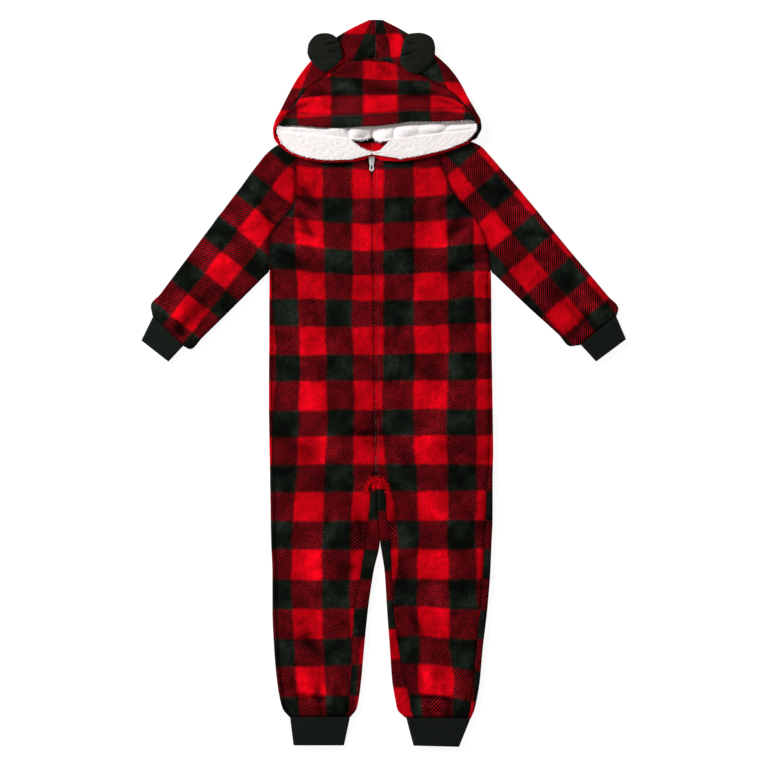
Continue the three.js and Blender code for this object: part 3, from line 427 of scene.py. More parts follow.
def ripple(x: Array, y: Array) -> Array:
    """Slight unevenness of soft cloth, a few tenths of a millimetre.

    Args:
        x: X of each point.
        y: Y of each point.

    Returns:
        Height at each point.
    """
    a = np.sin(x / 17.0 + 1.3 * np.sin(y / 41.0)) * np.sin(y / 23.0 + 0.9 * np.sin(x / 37.0))
    b = np.sin(x / 9.1 - y / 13.7 + 2.0) * np.sin(y / 11.3 + 0.5)
    return 0.28 * a + 0.14 * b


def top_relief(x: Array, y: Array) -> Array:
    """Height of the top layer over its plain height.

    Args:
        x: X of each point.
        y: Y of each point.

    Returns:
        Folds and creases, which fade at the zip and under the hood, with the rise over the slider and the
        groove of the topstitch.
    """
    beside = x - zip_x(y)
    free_of_zip = np.where(y > ZIP_FOOT, smooth((np.abs(beside) - 6) / 22), 1.0)
    free_of_hood = 1 - smooth((y - 330) / 40)
    creases = 1.2 * np.clip(fold_sum(x, y, FOLDS), -1.4, 1.55) + 1.35 * fold_sum(x, y, CREASES)
    folds = (creases * free_of_zip + 1.5 * ripple(x, y)) * free_of_hood
    over_slider = 0.8 * hill(x + 21, 26) * hill(y - 372, 30)
    groove = np.where(y > ZIP_FOOT, 0.7 * hill(beside - 7.5, 1.5), 0.0)
    return np.clip(folds, -2.0, 3.2) + over_slider - groove * free_of_hood


def underside_relief(x: Array, y: Array) -> Array:
    """Depth of the underside's creases."""
    return np.clip(fold_sum(x, y, BACK_CREASES), 0, 1.5)


def monotone(values: Array, stations: Array, fine: Array) -> Array:
    """Reads a monotone cubic through rows of values.

    Args:
        values: One row for each station.
        stations: Rising parameter of the rows.
        fine: Where to read.

    Returns:
        One row for each entry of fine.
    """
    shape = (-1,) + (1,) * (values.ndim - 1)
    h = np.diff(stations)
    d = np.diff(values, axis=0) / h.reshape(shape)
    slope = np.zeros_like(values)
    slope[0], slope[-1] = d[0], d[-1]
    w1 = (2 * h[1:] + h[:-1]).reshape(shape)
    w2 = (h[1:] + 2 * h[:-1]).reshape(shape)
    with np.errstate(divide="ignore", invalid="ignore"):
        mean = (w1 + w2) / (w1 / d[:-1] + w2 / d[1:])
    slope[1:-1] = np.where(d[1:] * d[:-1] > 0, mean, 0)
    k = np.clip(np.searchsorted(stations, fine, side="right") - 1, 0, len(h) - 1)
    step = h[k].reshape(shape)
    t = ((fine - stations[k]) / h[k]).reshape(shape)
    start = (2 * t**3 - 3 * t**2 + 1) * values[k] + (t**3 - 2 * t**2 + t) * step * slope[k]
    end = (-2 * t**3 + 3 * t**2) * values[k + 1] + (t**3 - t**2) * step * slope[k + 1]
    return start + end


def inward(a: Array, b: Array, distance: float) -> Array:
    """A point that lies a distance in from a towards b."""
    return a + (b - a) / np.linalg.norm(b - a) * distance


# Cloth grids


@dataclass
class Row:
    """Points across a piece with their normals and how far each faces up."""

    points: list[Array] = field(default_factory=list)
    normals: list[Array] = field(default_factory=list)
    tops: list[Array] = field(default_factory=list)

    def put(self, points: Array, normals: Array | Sequence[float], tops: Array | float) -> "Row":
        """Adds points at the end of the row.

        Args:
            points: One row for each point.
            normals: A normal for each, or one for all.
            tops: How far each faces up, or one number for all.

        Returns:
            The row.
        """
        self.points.append(points)
        self.normals.append(np.broadcast_to(np.asarray(normals, dtype=float), points.shape))
        self.tops.append(np.broadcast_to(np.asarray(tops, dtype=float), len(points)))
        return self

    def add(self, other: "Row") -> "Row":
        """Adds another row at the end."""
        return self.put(*(np.concatenate(part) for part in (other.points, other.normals, other.tops)))

    def run(self, a: Array, b: Array, count: int, z: Height | float, up: int,
            first: bool = True, last: bool = False) -> "Row":
        """Adds a straight stretch.

        Args:
            a: Where it starts.
            b: Where it ends.
            count: Number of steps.
            z: Height, or height from the share of the way.
            up: 1 on the top face, -1 on the underside.
            first: Whether a itself is added.
            last: Whether b itself is added.

        Returns:
            The row.
        """
        s = np.linspace(0, 1, count + 1)[0 if first else 1 : None if last else -1]
        s = 0.6 * s + 0.4 * (0.5 - 0.5 * np.cos(math.pi * s))
        height = z(s) if callable(z) else np.full(len(s), z)
        return self.put(np.column_stack([between(a[:2], b[:2], s), height]), (0, 0, up), max(up, 0))

    def arc(self, edge: Array, towards: Array, low: float, high: float, degrees: Sequence[float]) -> "Row":
        """Adds a rounded edge.

        Args:
            edge: The outermost point.
            towards: A point that the cloth runs to.
            low: Height of the underside.
            high: Height of the fold.
            degrees: Turns at which it has points, where 0 is the top and 180 the underside.

        Returns:
            The row.
        """
        way = inward(edge[:2], towards[:2], 1.0) - edge[:2]
        r = min(EDGE, high / 2)
        a = np.radians(np.asarray(degrees, dtype=float))
        flat = edge[:2] + np.outer(r * (1 - np.sin(a)), way)
        points = np.column_stack([flat, low + high / 2 * (1 + np.cos(a))])
        normals = np.column_stack([np.outer(-np.sin(a) * high / 2, way), np.cos(a) * r])
        normals /= np.linalg.norm(normals, axis=1)[:, None]
        return self.put(points, normals, (1 + np.cos(a)) / 2)


@dataclass
class Grid:
    """A piece of cloth as rows of outer points."""

    points: Array
    normals: Array
    tops: Array

    @classmethod
    def of(cls, rows: Sequence[Row]) -> "Grid":
        """Stacks rows that have the same number of points."""
        return cls(*(np.array([np.concatenate(getattr(row, part)) for row in rows])
                     for part in ("points", "normals", "tops")))

    @property
    def xy(self) -> tuple[Array, Array]:
        """X and Y of each point."""
        return self.points[..., 0], self.points[..., 1]

    def refined(self, step: float) -> "Grid":
        """The same piece with rows no further apart than a step.

        Args:
            step: Greatest distance between two rows, on average along them.

        Returns:
            The finer piece.
        """
        gaps = np.linalg.norm(np.diff(self.points, axis=0), axis=2).mean(axis=1)
        stations = np.concatenate([[0.0], np.cumsum(gaps)])
        fine = [np.linspace(a, b, max(1, math.ceil((b - a) / step)), endpoint=False)
                for a, b in zip(stations[:-1], stations[1:])]
        fine = np.concatenate([*fine, stations[-1:]])
        normals = monotone(self.normals, stations, fine)
        normals /= np.linalg.norm(normals, axis=2)[..., None]
        return Grid(monotone(self.points, stations, fine), normals, monotone(self.tops, stations, fine))

    def reach(self, axis: int) -> Array:
        """Distance of each point from the first row, on axis 0, or the first column, on axis 1."""
        gaps = np.linalg.norm(np.diff(self.points, axis=axis), axis=2)
        return np.insert(np.cumsum(gaps, axis=axis), 0, 0.0, axis=axis)

    def raised(self, height: Array | float) -> "Grid":
        """The same piece with a height added to each point.

        Args:
            height: One for each point, or one for all.

        Returns:
            The raised piece.
        """
        points = self.points.copy()
        points[..., 2] += height
        return Grid(points, self.normals, self.tops)

    def folded(self) -> "Grid":
        """The same piece with the folds of both faces."""
        x, y = self.xy
        return self.raised(top_relief(x, y) * self.tops + underside_relief(x, y) * (1 - self.tops) ** 2)

    def dipped(self, start: float = 0.0, end: float = 0.0, head: float = 0.0, foot: float = 0.0,
               wide: float = 3.0) -> "Grid":
        """Sinks the cloth towards its sewn edges.

        Args:
            start: Depth at the first column.
            end: Depth at the last column.
            head: Depth at the first row.
            foot: Depth at the last row.
            wide: Width of each groove.

        Returns:
            The sunk piece.
        """
        across, down = self.reach(1), self.reach(0)
        lower = start * hill(across, wide) + end * hill(across[:, -1:] - across, wide)
        lower += head * hill(down, wide) + foot * hill(down[-1:] - down, wide)
        return self.raised(-lower * smooth(self.tops * 2 - 1))


# Meshes


def mesh_piece(name: str, points: Array, faces: list, flat_from: int | None = None) -> bpy.types.Object:
    """Makes an object from points in millimetres in the drawing frame.

    Args:
        name: The piece's name.
        points: One row for each vertex.
        faces: Vertex numbers of each face.
        flat_from: Faces from this one on are shaded flat.

    Returns:
        The new object, linked to the scene.
    """
    mesh = bpy.data.meshes.new(name)
    mesh.from_pydata(((points + SHIFT) * MM).tolist(), [], faces)
    flags = np.ones(len(mesh.polygons), dtype=bool)
    if flat_from is not None:
        flags[flat_from:] = False
    mesh.polygons.foreach_set("use_smooth", flags)
    mesh.update()
    piece = bpy.data.objects.new(name, mesh)
    bpy.context.scene.collection.objects.link(piece)
    return piece


def spread(piece: bpy.types.Object, name: str, values: Array) -> None:
    """Stores a value or a vector for each vertex under a name that materials read."""
    kind, key = ("FLOAT", "value") if values.ndim == 1 else ("FLOAT_VECTOR", "vector")
    piece.data.attributes.new(name, kind, "POINT").data.foreach_set(key, values.astype(np.float32).ravel())


def edge_faces(a: Array, b: Array, first: int = 0) -> Array:
    """Faces between two lines of vertices, turned by some corners."""
    return np.roll(np.stack([a[:-1], b[:-1], b[1:], a[1:]], -1), first, axis=1)


def wall(name: str, grid: Grid, thick: float | Array, ring: bool = False) -> bpy.types.Object:
    """Closes a grid into a thin cloth wall.

    Args:
        name: The piece's name.
        grid: Its outer points.
        thick: Wall thickness, or one for each point.
        ring: Whether the last column meets the first.

    Returns:
        The new object; its vertices are the outer points and then the inner ones.
    """
    rows, across = grid.points.shape[:2]
    depth = np.broadcast_to(np.asarray(thick, dtype=float), (rows, across))
    n = rows * across
    ids = np.arange(n).reshape(rows, across)
    if ring:
        ids = np.concatenate([ids, ids[:, :1]], axis=1)
    a, b, c, d = ids[:-1, :-1], ids[:-1, 1:], ids[1:, 1:], ids[1:, :-1]
    faces = [np.stack([a, b, c, d], -1).reshape(-1, 4), np.stack([b, a, d, c], -1).reshape(-1, 4) + n]
    shaded = sum(len(f) for f in faces)
    if not ring:
        faces += [edge_faces(ids[:, 0] + n, ids[:, 0]), edge_faces(ids[:, -1], ids[:, -1] + n)]
    faces += [edge_faces(ids[0], ids[0] + n, first=1), edge_faces(ids[-1] + n, ids[-1], first=-1)]
    quads = np.concatenate(faces)
    inner = grid.points - grid.normals * depth[..., None]
    points = np.concatenate([grid.points.reshape(-1, 3), inner.reshape(-1, 3)])
    p = points[quads]
    twice = np.cross(p[:, 2] - p[:, 0], p[:, 3] - p[:, 1])
    if (p.mean(axis=1) * twice).sum() < 0:
        quads = quads[:, ::-1]
    return mesh_piece(name, points, quads.tolist(), shaded)


def joined(name: str, parts: Iterable[Solid]) -> bpy.types.Object:
    """Makes one piece of many small closed meshes.

    Args:
        name: The piece's name.
        parts: Points and faces of each mesh.

    Returns:
        The new object.
    """
    points, faces, base = [], [], 0
    for verts, polys in parts:
        points.append(verts)
        faces.extend([i + base for i in poly] for poly in polys)
        base += len(verts)
    return mesh_piece(name, np.concatenate(points), faces)


def tube_faces(rings: int, sides: int, turned: bool = False) -> list[list[int]]:
    """Faces of a closed tube whose rings of points follow each other.

    Args:
        rings: Number of rings.
        sides: Number of points in each.
        turned: Whether the faces look the other way.

    Returns:
        Vertex numbers of each face.
    """
    faces = [[i + j, i + sides + j, i + sides + (j + 1) % sides, i + (j + 1) % sides]
             for i in range(0, (rings - 1) * sides, sides) for j in range(sides)]
    faces.append(list(range(sides)))
    faces.append(list(range((rings - 1) * sides, rings * sides))[::-1])
    return [face[::-1] for face in faces] if turned else faces


def strand(path: Array, radii: Sequence[float], sides: int = 5) -> Solid:
    """A closed round strand along a short path.

    Args:
        path: Points along it.
        radii: Radius at each point.
        sides: Number of sides.

    Returns:
        Its points and its faces.
    """
    rings = []
    a = np.arange(sides) * 2 * math.pi / sides
    for i, (p, r) in enumerate(zip(path, radii)):
        way = path[min(i + 1, len(path) - 1)] - path[max(i - 1, 0)]
        way = way / (np.linalg.norm(way) + 1e-9)
        side = np.cross(way, [0.0, 0.0, 1.0] if abs(way[2]) < 0.9 else [1.0, 0.0, 0.0])
        side /= np.linalg.norm(side)
        rings.append(p + r * (np.outer(np.cos(a), side) + np.outer(np.sin(a), np.cross(side, way))))
    return np.concatenate(rings), tube_faces(len(rings), sides)


def plate(line: Array, low: float, high: float, bevel: float = 0.0) -> Solid:
    """A flat plate cut to an outline, its edges rounded.

    Args:
        line: The outline, turning left.
        low: Height of the underside.
        high: Height of the top.
        bevel: Radius of the edges.

    Returns:
        Its points and its faces.
    """
    way = np.roll(line, -1, axis=0) - np.roll(line, 1, axis=0)
    way /= np.linalg.norm(way, axis=1)[:, None]
    inner = np.column_stack([-way[:, 1], way[:, 0]])
    steps = [(bevel, 0), (0.3 * bevel, 0.3 * bevel), (0, bevel)] if bevel else [(0, 0)]
    levels = [(d, low + h) for d, h in steps] + [(d, high - h) for d, h in reversed(steps)]
    rings = [np.column_stack([line + inner * d, np.full(len(line), z)]) for d, z in levels]
    return np.concatenate(rings), tube_faces(len(rings), len(line), turned=True)


def stitches(line: Array, length: float = 2.7, gap: float = 0.9, radius: float = 0.34) -> list[Solid]:
    """A row of stitches that sinks into the cloth between one and the next.

    Args:
        line: Points along the seam, on the cloth.
        length: Length of a stitch.
        gap: Cloth between two.
        radius: Radius of the thread.

    Returns:
        One closed strand for each stitch.
    """
    along = np.concatenate([[0.0], np.cumsum(np.linalg.norm(np.diff(line, axis=0), axis=1))])
    made = []
    for start in np.arange(0, along[-1] - length, length + gap):
        path = np.column_stack([np.interp(start + length * TUFT, along, line[:, k]) for k in range(3)])
        path[:, 2] += radius * np.array([-1.6, 0.55, 0.55, -1.6])
        made.append(strand(path, [0.7 * radius, radius, radius, 0.7 * radius], 4))
    return made


# Check


def cell(value: Array, edges: Sequence[Array]) -> Array:
    """Finds the cell that each value lies in; the two outer cells have no end.

    Args:
        value: The values.
        edges: Rising edges of the cells at each value.

    Returns:
        The cell's number, from 0, plus the share of the way through it.
    """
    place = np.zeros(np.shape(value))
    last = len(edges) - 2
    for k in range(last + 1):
        share = (value - edges[k]) / (edges[k + 1] - edges[k])
        inside = (share > (0.0 if k else -FAR)) & (share <= (1.0 if k < last else FAR))
        place += np.where(inside, share + k, 0.0)
    return place


def body_check(x: Array, y: Array, top: Array) -> tuple[Array, Array]:
    """Check on the body.

    Args:
        x: X of each point.
        y: Y of each point.
        top: How far each faces up; not used.

    Returns:
        Column and row at each point, where even numbers are black yarn.
    """
    columns = np.array(COLUMNS)[::-1].T
    rows = np.array(ROWS, dtype=float)[::-1]
    u = cell(x, [np.interp(y, columns[0], edge) for edge in columns[1:]]) - 4
    return u, cell(y, [np.interp(x, ROW_PLACES, row[1:]) for row in rows]) + rows[0, 0]


def back_check(x: Array, y: Array, top: Array) -> tuple[Array, Array]:
    """Check on the back: the body's, with a red row under a black one inside the neck.

    Args:
        x: X of each point.
        y: Y of each point.
        top: How far each faces up.

    Returns:
        Column and row at each point.
    """
    u, v = body_check(x, y, top)
    neck = y > 386
    band = 1.5 - np.interp(y, (408.5, 410.5), (0.0, 1.0))
    return np.where(neck, band, u), np.where(neck, band, v)


def leg_strip_left(x: Array, y: Array, top: Array) -> tuple[Array, Array]:
    """Check of the left back panel, whose strips beside the front are a row out of step.

    Args:
        x: X of each point.
        y: Y of each point.
        top: How far each faces up.

    Returns:
        Column and row at each point.
    """
    u, v = back_check(x, y, top)
    edge = np.interp(y, (-538, -453, -436, -400, -280, -160), (-48, -40, -34, -18, 2, 2))
    inner = (top > 0.3) & (x > -90) & (y < CROTCH)
    arch = inner & (y > ARCH_FOOT)
    u = np.where(inner, 1 + (x - edge) / SQUARE, u)
    return np.where(arch, 1.5, u), np.where(arch, 1.5, np.where(inner, v + 1, v))


def leg_strip_right(x: Array, y: Array, top: Array) -> tuple[Array, Array]:
    """Check of the right back panel, with strips at the inner leg and at the side.

    Args:
        x: X of each point.
        y: Y of each point.
        top: How far each faces up.

    Returns:
        Column and row at each point.
    """
    u, v = back_check(x, y, top)
    inner = (top > 0.3) & (x < 90) & (y < CROTCH)
    arch = inner & (y > ARCH_FOOT)
    outer = (top > 0.3) & (x > 110) & (y < -170)
    edge = np.interp(y, (-557, -454, -385, -323, -268, -190), (23, 10, 5, 1, -5, -12))
    rows = np.interp(y, (-566.5, -517.7, -468.9, -417.4, -368.4, -318.2, -267, -218, -170), range(-5, 4))
    u = np.where(outer, 0.2 + (x - 165) / 60, u)
    u = np.where(inner, 0.3 + (x - edge) / SQUARE + smooth((-412 - y) / 10), u)
    v = np.where(inner, rows, np.where(outer, v + 1, v))
    return np.where(arch, 1.5, u), np.where(arch, 1.5, v)


def sleeve_check(side: Side) -> Check:
    """Check of a sleeve, turned along the arm.

    Args:
        side: Which sleeve.

    Returns:
        The function that gives column and row.
    """
    middle, across, along, pitch = SLEEVE_CHECK[side]

    def check(x: Array, y: Array, top: Array) -> tuple[Array, Array]:
        """Column and row at each point.

        Args:
            x: X of each point.
            y: Y of each point.
            top: How far each faces up; not used.

        Returns:
            Column and row at each point.
        """
        dx, dy = x - middle[0], y - middle[1]
        u, v = ((dx * way[0] + dy * way[1]) / size + 0.5 for way, size in zip((across, along), pitch))
        return u, v

    return check


def hood_check_left(x: Array, y: Array, top: Array) -> tuple[Array, Array]:
    """Check of the hood's left half, with a plain lip along the chest.

    Args:
        x: X of each point.
        y: Y of each point.
        top: How far each faces up; not used.

    Returns:
        Column and row at each point.
    """
    u = 1 + ((x + 8) + 0.45 * (575.4 - y)) / 33.2
    v = np.interp(y, (425.8, 464.1, 502.3, 549.9, 594.1, 633.2), range(-3, 3))
    lip = np.where((x > -58) & (y > 404), 0.5, -2.5)
    low = y < 430
    return np.where(low, lip, u), np.where(low, lip, v)


def hood_check_right(x: Array, y: Array, top: Array) -> tuple[Array, Array]:
    """Check of the hood's right half, with a plain lip along the chest and a black corner.

    Args:
        x: X of each point.
        y: Y of each point.
        top: How far each faces up; not used.

    Returns:
        Column and row at each point.
    """
    levels = (430, 475, 510, 541, 555, 575, 601, 633)
    columns = (
        (-15, -15, -15, -15, -15, -15, -15, -15),
        (66, 50, 36, 21, 12.4, 10.7, 2.2, -6),
        (92, 78, 60, 44, 42, 38, 26, 12),
        (134, 122, 106, 94, 86, 76, 60, 40),
        (170, 158, 142, 130, 122, 112, 96, 76),
    )
    u = cell(x, [np.interp(y, levels, column) for column in columns])
    v = np.interp(y, (413.9, 475.1, 512.5, 555, 594.1, 633), range(-2, 4))
    corner = (x > 148) & (y < 442)
    lip = np.where((x < 30) & (y > 404), 0.5, 1.5)
    low = (y < 428) & (x < 152)
    u = np.where(corner, 2.5, np.where(low, lip, u))
    return u, np.where(low, lip, v)


def band_check(x: Array, y: Array, top: Array) -> tuple[Array, Array]:
    """Check of the hood's front band, whose rows follow its hem.

    Args:
        x: X of each point.
        y: Y of each point.
        top: How far each faces up; not used.

    Returns:
        Column and row at each point.
    """
    u = np.interp(x, (-201.8, -146, -90.5, -34.9, 23.5, 80.4, 135.8, 191), range(-2, 6))
    places = (-146, -91, -6, 79, 115, 136)
    curves = (
        (402, 405, 411, 414, 412, 411),
        (451.8, 454.7, 460.7, 463.9, 462.4, 461.5),
        (484, 490.8, 489.6, 490.8, 483.6, 472),
        (516, 522.7, 515.9, 514.9, 509, 495),
        (546.5, 550, 546.5, 543, 535, 525),
    )
    return u, cell(y, [np.interp(x, places, curve) for curve in curves])


# Finishes


class Graph:
    """Short calls that add shader nodes to one new material."""

    def __init__(self, name: str) -> None:
        """Starts an empty material of that name.

        Args:
            name: The material's name.
        """
        self.material = bpy.data.materials.new(name)
        self.material.use_nodes = True
        self.tree = self.material.node_tree
        self.tree.nodes.clear()
        self.place = self.node("ShaderNodeTexCoord").outputs["Object"]

    def node(self, kind: str, inputs: dict | None = None, **settings: object) -> bpy.types.Node:
        """Adds a node.

        Args:
            kind: Blender's name for it.
            inputs: Values or links for its inputs.
            **settings: The node's own settings.

        Returns:
            The new node.
        """
        made = self.tree.nodes.new(kind)
        for key, value in settings.items():
            setattr(made, key, value)
        for key, value in (inputs or {}).items():
            if isinstance(value, bpy.types.NodeSocket):
                self.tree.links.new(value, made.inputs[key])
            else:
                made.inputs[key].default_value = value
        return made

    def math(self, operation: str, *values: object, clamp: bool = False) -> bpy.types.NodeSocket:
        """Arithmetic on numbers or sockets."""
        inputs = dict(enumerate(values))
        return self.node("ShaderNodeMath", inputs, operation=operation, use_clamp=clamp).outputs[0]

    def mix(self, share: object, a: object, b: object) -> bpy.types.NodeSocket:
        """A colour between a and b."""
        return self.node("ShaderNodeMix", {0: share, 6: a, 7: b}, data_type="RGBA").outputs[2]

    def cloud(self, scale: float, detail: float, rough: float,
              stretch: tuple[float, float, float] | None = None) -> bpy.types.Node:
        """Adds noise.

        Args:
            scale: Features a metre.
            detail: Octaves.
            rough: Strength of the finer octaves.
            stretch: Scale along each axis.

        Returns:
            The noise node.
        """
        at = self.place
        if stretch:
            at = self.node("ShaderNodeMapping", {"Vector": at, "Scale": stretch}).outputs[0]
        inputs = {"Vector": at, "Scale": scale, "Detail": detail, "Roughness": rough}
        return self.node("ShaderNodeTexNoise", inputs)

    def noise(self, *sizes: object, **settings: object) -> bpy.types.NodeSocket:
        """Noise as a number from 0 to 1."""
        return self.cloud(*sizes, **settings).outputs["Fac"]

    def channels(self, cloud: bpy.types.Node) -> bpy.types.bpy_prop_collection:
        """Three numbers that differ, from one noise."""
        return self.node("ShaderNodeSeparateColor", {0: cloud.outputs["Color"]}).outputs

    def ramp(self, value: object, low: float, high: float,
             to: tuple[float, float] = (0.0, 1.0)) -> bpy.types.NodeSocket:
        """A value stretched from low..high to another range, and held to it."""
        inputs = {"Value": value, "From Min": low, "From Max": high, "To Min": to[0], "To Max": to[1]}
        return self.node("ShaderNodeMapRange", inputs).outputs[0]

    def relief(self, *layers: tuple[object, float, float]) -> bpy.types.NodeSocket:
        """Bumps over each other.

        Args:
            *layers: Height, depth in metres and strength of each.

        Returns:
            The normal.
        """
        normal = None
        for height, depth, strength in layers:
            inputs = {"Height": height, "Distance": depth, "Strength": strength}
            if normal is not None:
                inputs["Normal"] = normal
            normal = self.node("ShaderNodeBump", inputs).outputs[0]
        return normal

    def finish(self, **inputs: object) -> bpy.types.Material:
        """Closes the material with one principled shader.

        Args:
            **inputs: The shader's inputs, in lower case.

        Returns:
            The material.
        """
        names = {key.replace("_", " ").title().replace("Ior", "IOR"): value for key, value in inputs.items()}
        shader = self.node("ShaderNodeBsdfPrincipled", names)
        out = self.node("ShaderNodeOutputMaterial")
        self.tree.links.new(shader.outputs[0], out.inputs["Surface"])
        return self.material


Colour = tuple[float, float, float, float]


def colour(r: float, g: float, b: float) -> Colour:
    """A linear colour."""
    return (r, g, b, 1.0)


def darker(base: Colour, share: float) -> Colour:
    """A share of a colour."""
    return colour(*(share * c for c in base[:3]))


@dataclass(frozen=True)
class PlushCheck:
    """Short plush pile in a woven-look check: red, black and twill-lined mixed squares, with painted sheen in
    patches and painted shade and light over the folds.
    """

    red: Colour = colour(0.66, 0.0006, 0.007)
    black: Colour = colour(0.0032, 0.005, 0.0026)
    lined_dark: Colour = colour(0.008, 0.0008, 0.0013)
    lined_red: Colour = colour(0.28, 0.0042, 0.009)
    # black lightened with painted sheen, used in patches where the pile's nap lies unevenly
    sheen_black: Colour = colour(0.02, 0.027, 0.021)
    # Lift over the plain cloth, and the factors it gives: painted shade in the folds' troughs, painted light
    # on their ridges
    lifts: tuple[float, float] = (-2.0, 1.9)
    fold_shade_and_light: tuple[float, float] = (0.22, 1.5)
    fray: float = 0.15
    sway: float = 0.16
    crisp: float = 3.4
    twill: tuple[float, float] = (10.4, 8.4)

    def dark(self, g: Graph, place: object, shake: object, drift: object) -> bpy.types.NodeSocket:
        """Where the yarn that runs one way is black.

        Args:
            g: The material.
            place: Column or row of the check.
            shake: Fine unevenness of the squares' edges.
            drift: Broad unevenness of the squares' edges.

        Returns:
            1 on black yarn and 0 on red.
        """
        moved = g.math("MULTIPLY_ADD", shake, self.fray, place)
        moved = g.math("MULTIPLY_ADD", drift, self.sway, moved)
        moved = g.math("SUBTRACT", moved, (self.fray + self.sway) / 2)
        wave = g.math("SINE", g.math("MULTIPLY", moved, math.pi))
        return g.math("MULTIPLY_ADD", wave, self.crisp, 0.5, clamp=True)

    def lines(self, g: Graph, column: object, row: object, shake: object) -> bpy.types.NodeSocket:
        """Twill lines of a mixed square.

        Args:
            g: The material.
            column: Column of the check.
            row: Row of the check.
            shake: Unevenness of the lines.

        Returns:
            1 on red yarn and 0 between.
        """
        line = g.math("MULTIPLY", column, -self.twill[0])
        line = g.math("MULTIPLY_ADD", row, self.twill[1], line)
        line = g.math("MULTIPLY_ADD", shake, 0.55, line)
        line = g.math("SINE", g.math("MULTIPLY", line, 2 * math.pi))
        bright = g.math("MULTIPLY_ADD", g.noise(60, 3, 0.6), 2.7, -1.2)
        clear = g.math("MULTIPLY", line, g.ramp(g.noise(34, 2, 0.5), -0.1, 0.42))
        return g.math("MULTIPLY_ADD", clear, 1.35, bright, clamp=True)

    def material(self) -> bpy.types.Material:
        """Returns:
            The material.
        """
        g = Graph("plush_check")
        stored = g.node("ShaderNodeAttribute", attribute_name="check").outputs["Vector"]
        column, row, lift = g.node("ShaderNodeSeparateXYZ", {0: stored}).outputs
        fibres = g.cloud(420, 2.5, 0.6)
        shake = g.channels(fibres)
        drift = g.channels(g.cloud(24, 1.5, 0.5))
        dark = [self.dark(g, place, shake[i], drift[i]) for i, place in enumerate((column, row))]
        lined = g.mix(self.lines(g, column, row, shake[2]), self.lined_dark, self.lined_red)
        soft = g.noise(28, 3, 0.55)
        # patches of the black squares that get painted sheen, where the pile's nap lies unevenly
        nap_sheen_patches = g.math("MULTIPLY", g.ramp(soft, 0.38, 0.68), g.ramp(fibres.outputs["Fac"], 0.25, 0.7))
        shown = g.mix(g.math("MAXIMUM", *dark), self.red, lined)
        shown = g.mix(g.math("MINIMUM", *dark), shown, g.mix(nap_sheen_patches, self.black, self.sheen_black))
        # Brightness of the pile: uneven tone of its lay with painted sheen, times painted shade in the folds'
        # troughs and painted light on their ridges
        lay = g.noise(160, 3, 0.6, stretch=(1.0, 0.45, 1.0))
        lay_sheen_and_fold_shade = g.math("MULTIPLY_ADD", soft, 1.7, 0.13)
        lay_sheen_and_fold_shade = g.math("MULTIPLY", lay_sheen_and_fold_shade, g.math("MULTIPLY_ADD", lay, 0.7, 0.66))
        # painted shade in the troughs and painted light on the ridges, from the lift over the plain cloth
        lay_sheen_and_fold_shade = g.math("MULTIPLY", lay_sheen_and_fold_shade, g.ramp(lift, *self.lifts, to=self.fold_shade_and_light))
        shown = g.node("ShaderNodeVectorMath", {0: shown, 3: lay_sheen_and_fold_shade}, operation="SCALE").outputs[0]
        normal = g.relief((g.noise(95, 2, 0.5), 0.005, 0.5), (g.noise(420, 3, 0.65), 0.0018, 0.5),
                          (g.noise(1500, 2, 0.6), 0.0006, 0.5))
        return g.finish(base_color=shown, roughness=0.95, normal=normal, sheen_weight=0.026,
                        sheen_roughness=0.4, sheen_tint=colour(0.9, 0.6, 0.55), specular_ior_level=0.04)


@dataclass(frozen=True)
class SherpaPile:
    """Curly white pile, with painted shade between its curls."""

    white: Colour = colour(0.985, 0.915, 0.91)
    # painted shade for the hollows between the curls and between the lobes
    crevice_shade: Colour = colour(0.5, 0.33, 0.29)

    def material(self) -> bpy.types.Material:
        """White curls with fine fibre and painted shade between them.

        Returns:
            The material.
        """
        g = Graph("sherpa")
        # the stored value is low where painted shade falls, between the curls and in the gaps between the
        # lobes
        curl = g.node("ShaderNodeAttribute", attribute_name="curl").outputs["Fac"]
        level = g.math("MULTIPLY_ADD", g.noise(230, 4, 0.65), 0.5, curl)
        shown = g.mix(g.ramp(level, -0.25, 0.45), self.crevice_shade, self.white)
        curls = g.node("ShaderNodeTexVoronoi", {"Vector": g.place, "Scale": 330.0, "Randomness": 1.0})
        normal = g.relief((curls.outputs["Distance"], 0.001, 0.3), (g.noise(1300, 4, 0.7), 0.0006, 0.5))
        return g.finish(base_color=shown, roughness=0.9, normal=normal, sheen_weight=0.25,
                        sheen_roughness=0.4, subsurface_weight=0.12, subsurface_radius=(0.004, 0.003, 0.0026),
                        subsurface_scale=0.6, specular_ior_level=0.1)


@dataclass(frozen=True)
class DarkKnit:
    """Matt cloth; the rib is smooth, the ears' fleece is fuzzier and the zip's tape is finely woven."""

    name: str
    base: Colour
    light: Colour
    grain: float
    depth: float

    def material(self) -> bpy.types.Material:
        """Yarn with a little dust-coloured lint.

        Returns:
            The material.
        """
        g = Graph(self.name)
        grain = g.noise(self.grain, 3, 0.65)
        share = g.math("MULTIPLY", g.ramp(g.noise(35, 3, 0.6), 0.3, 0.75), g.ramp(grain, 0.25, 0.8))
        shown = g.mix(share, self.base, self.light)
        normal = g.relief((grain, self.depth, 0.6), (g.noise(2200, 2, 0.6), 0.0003, 0.5))
        return g.finish(base_color=shown, roughness=0.92, normal=normal, sheen_weight=0.025,
                        sheen_roughness=0.5, specular_ior_level=0.08)


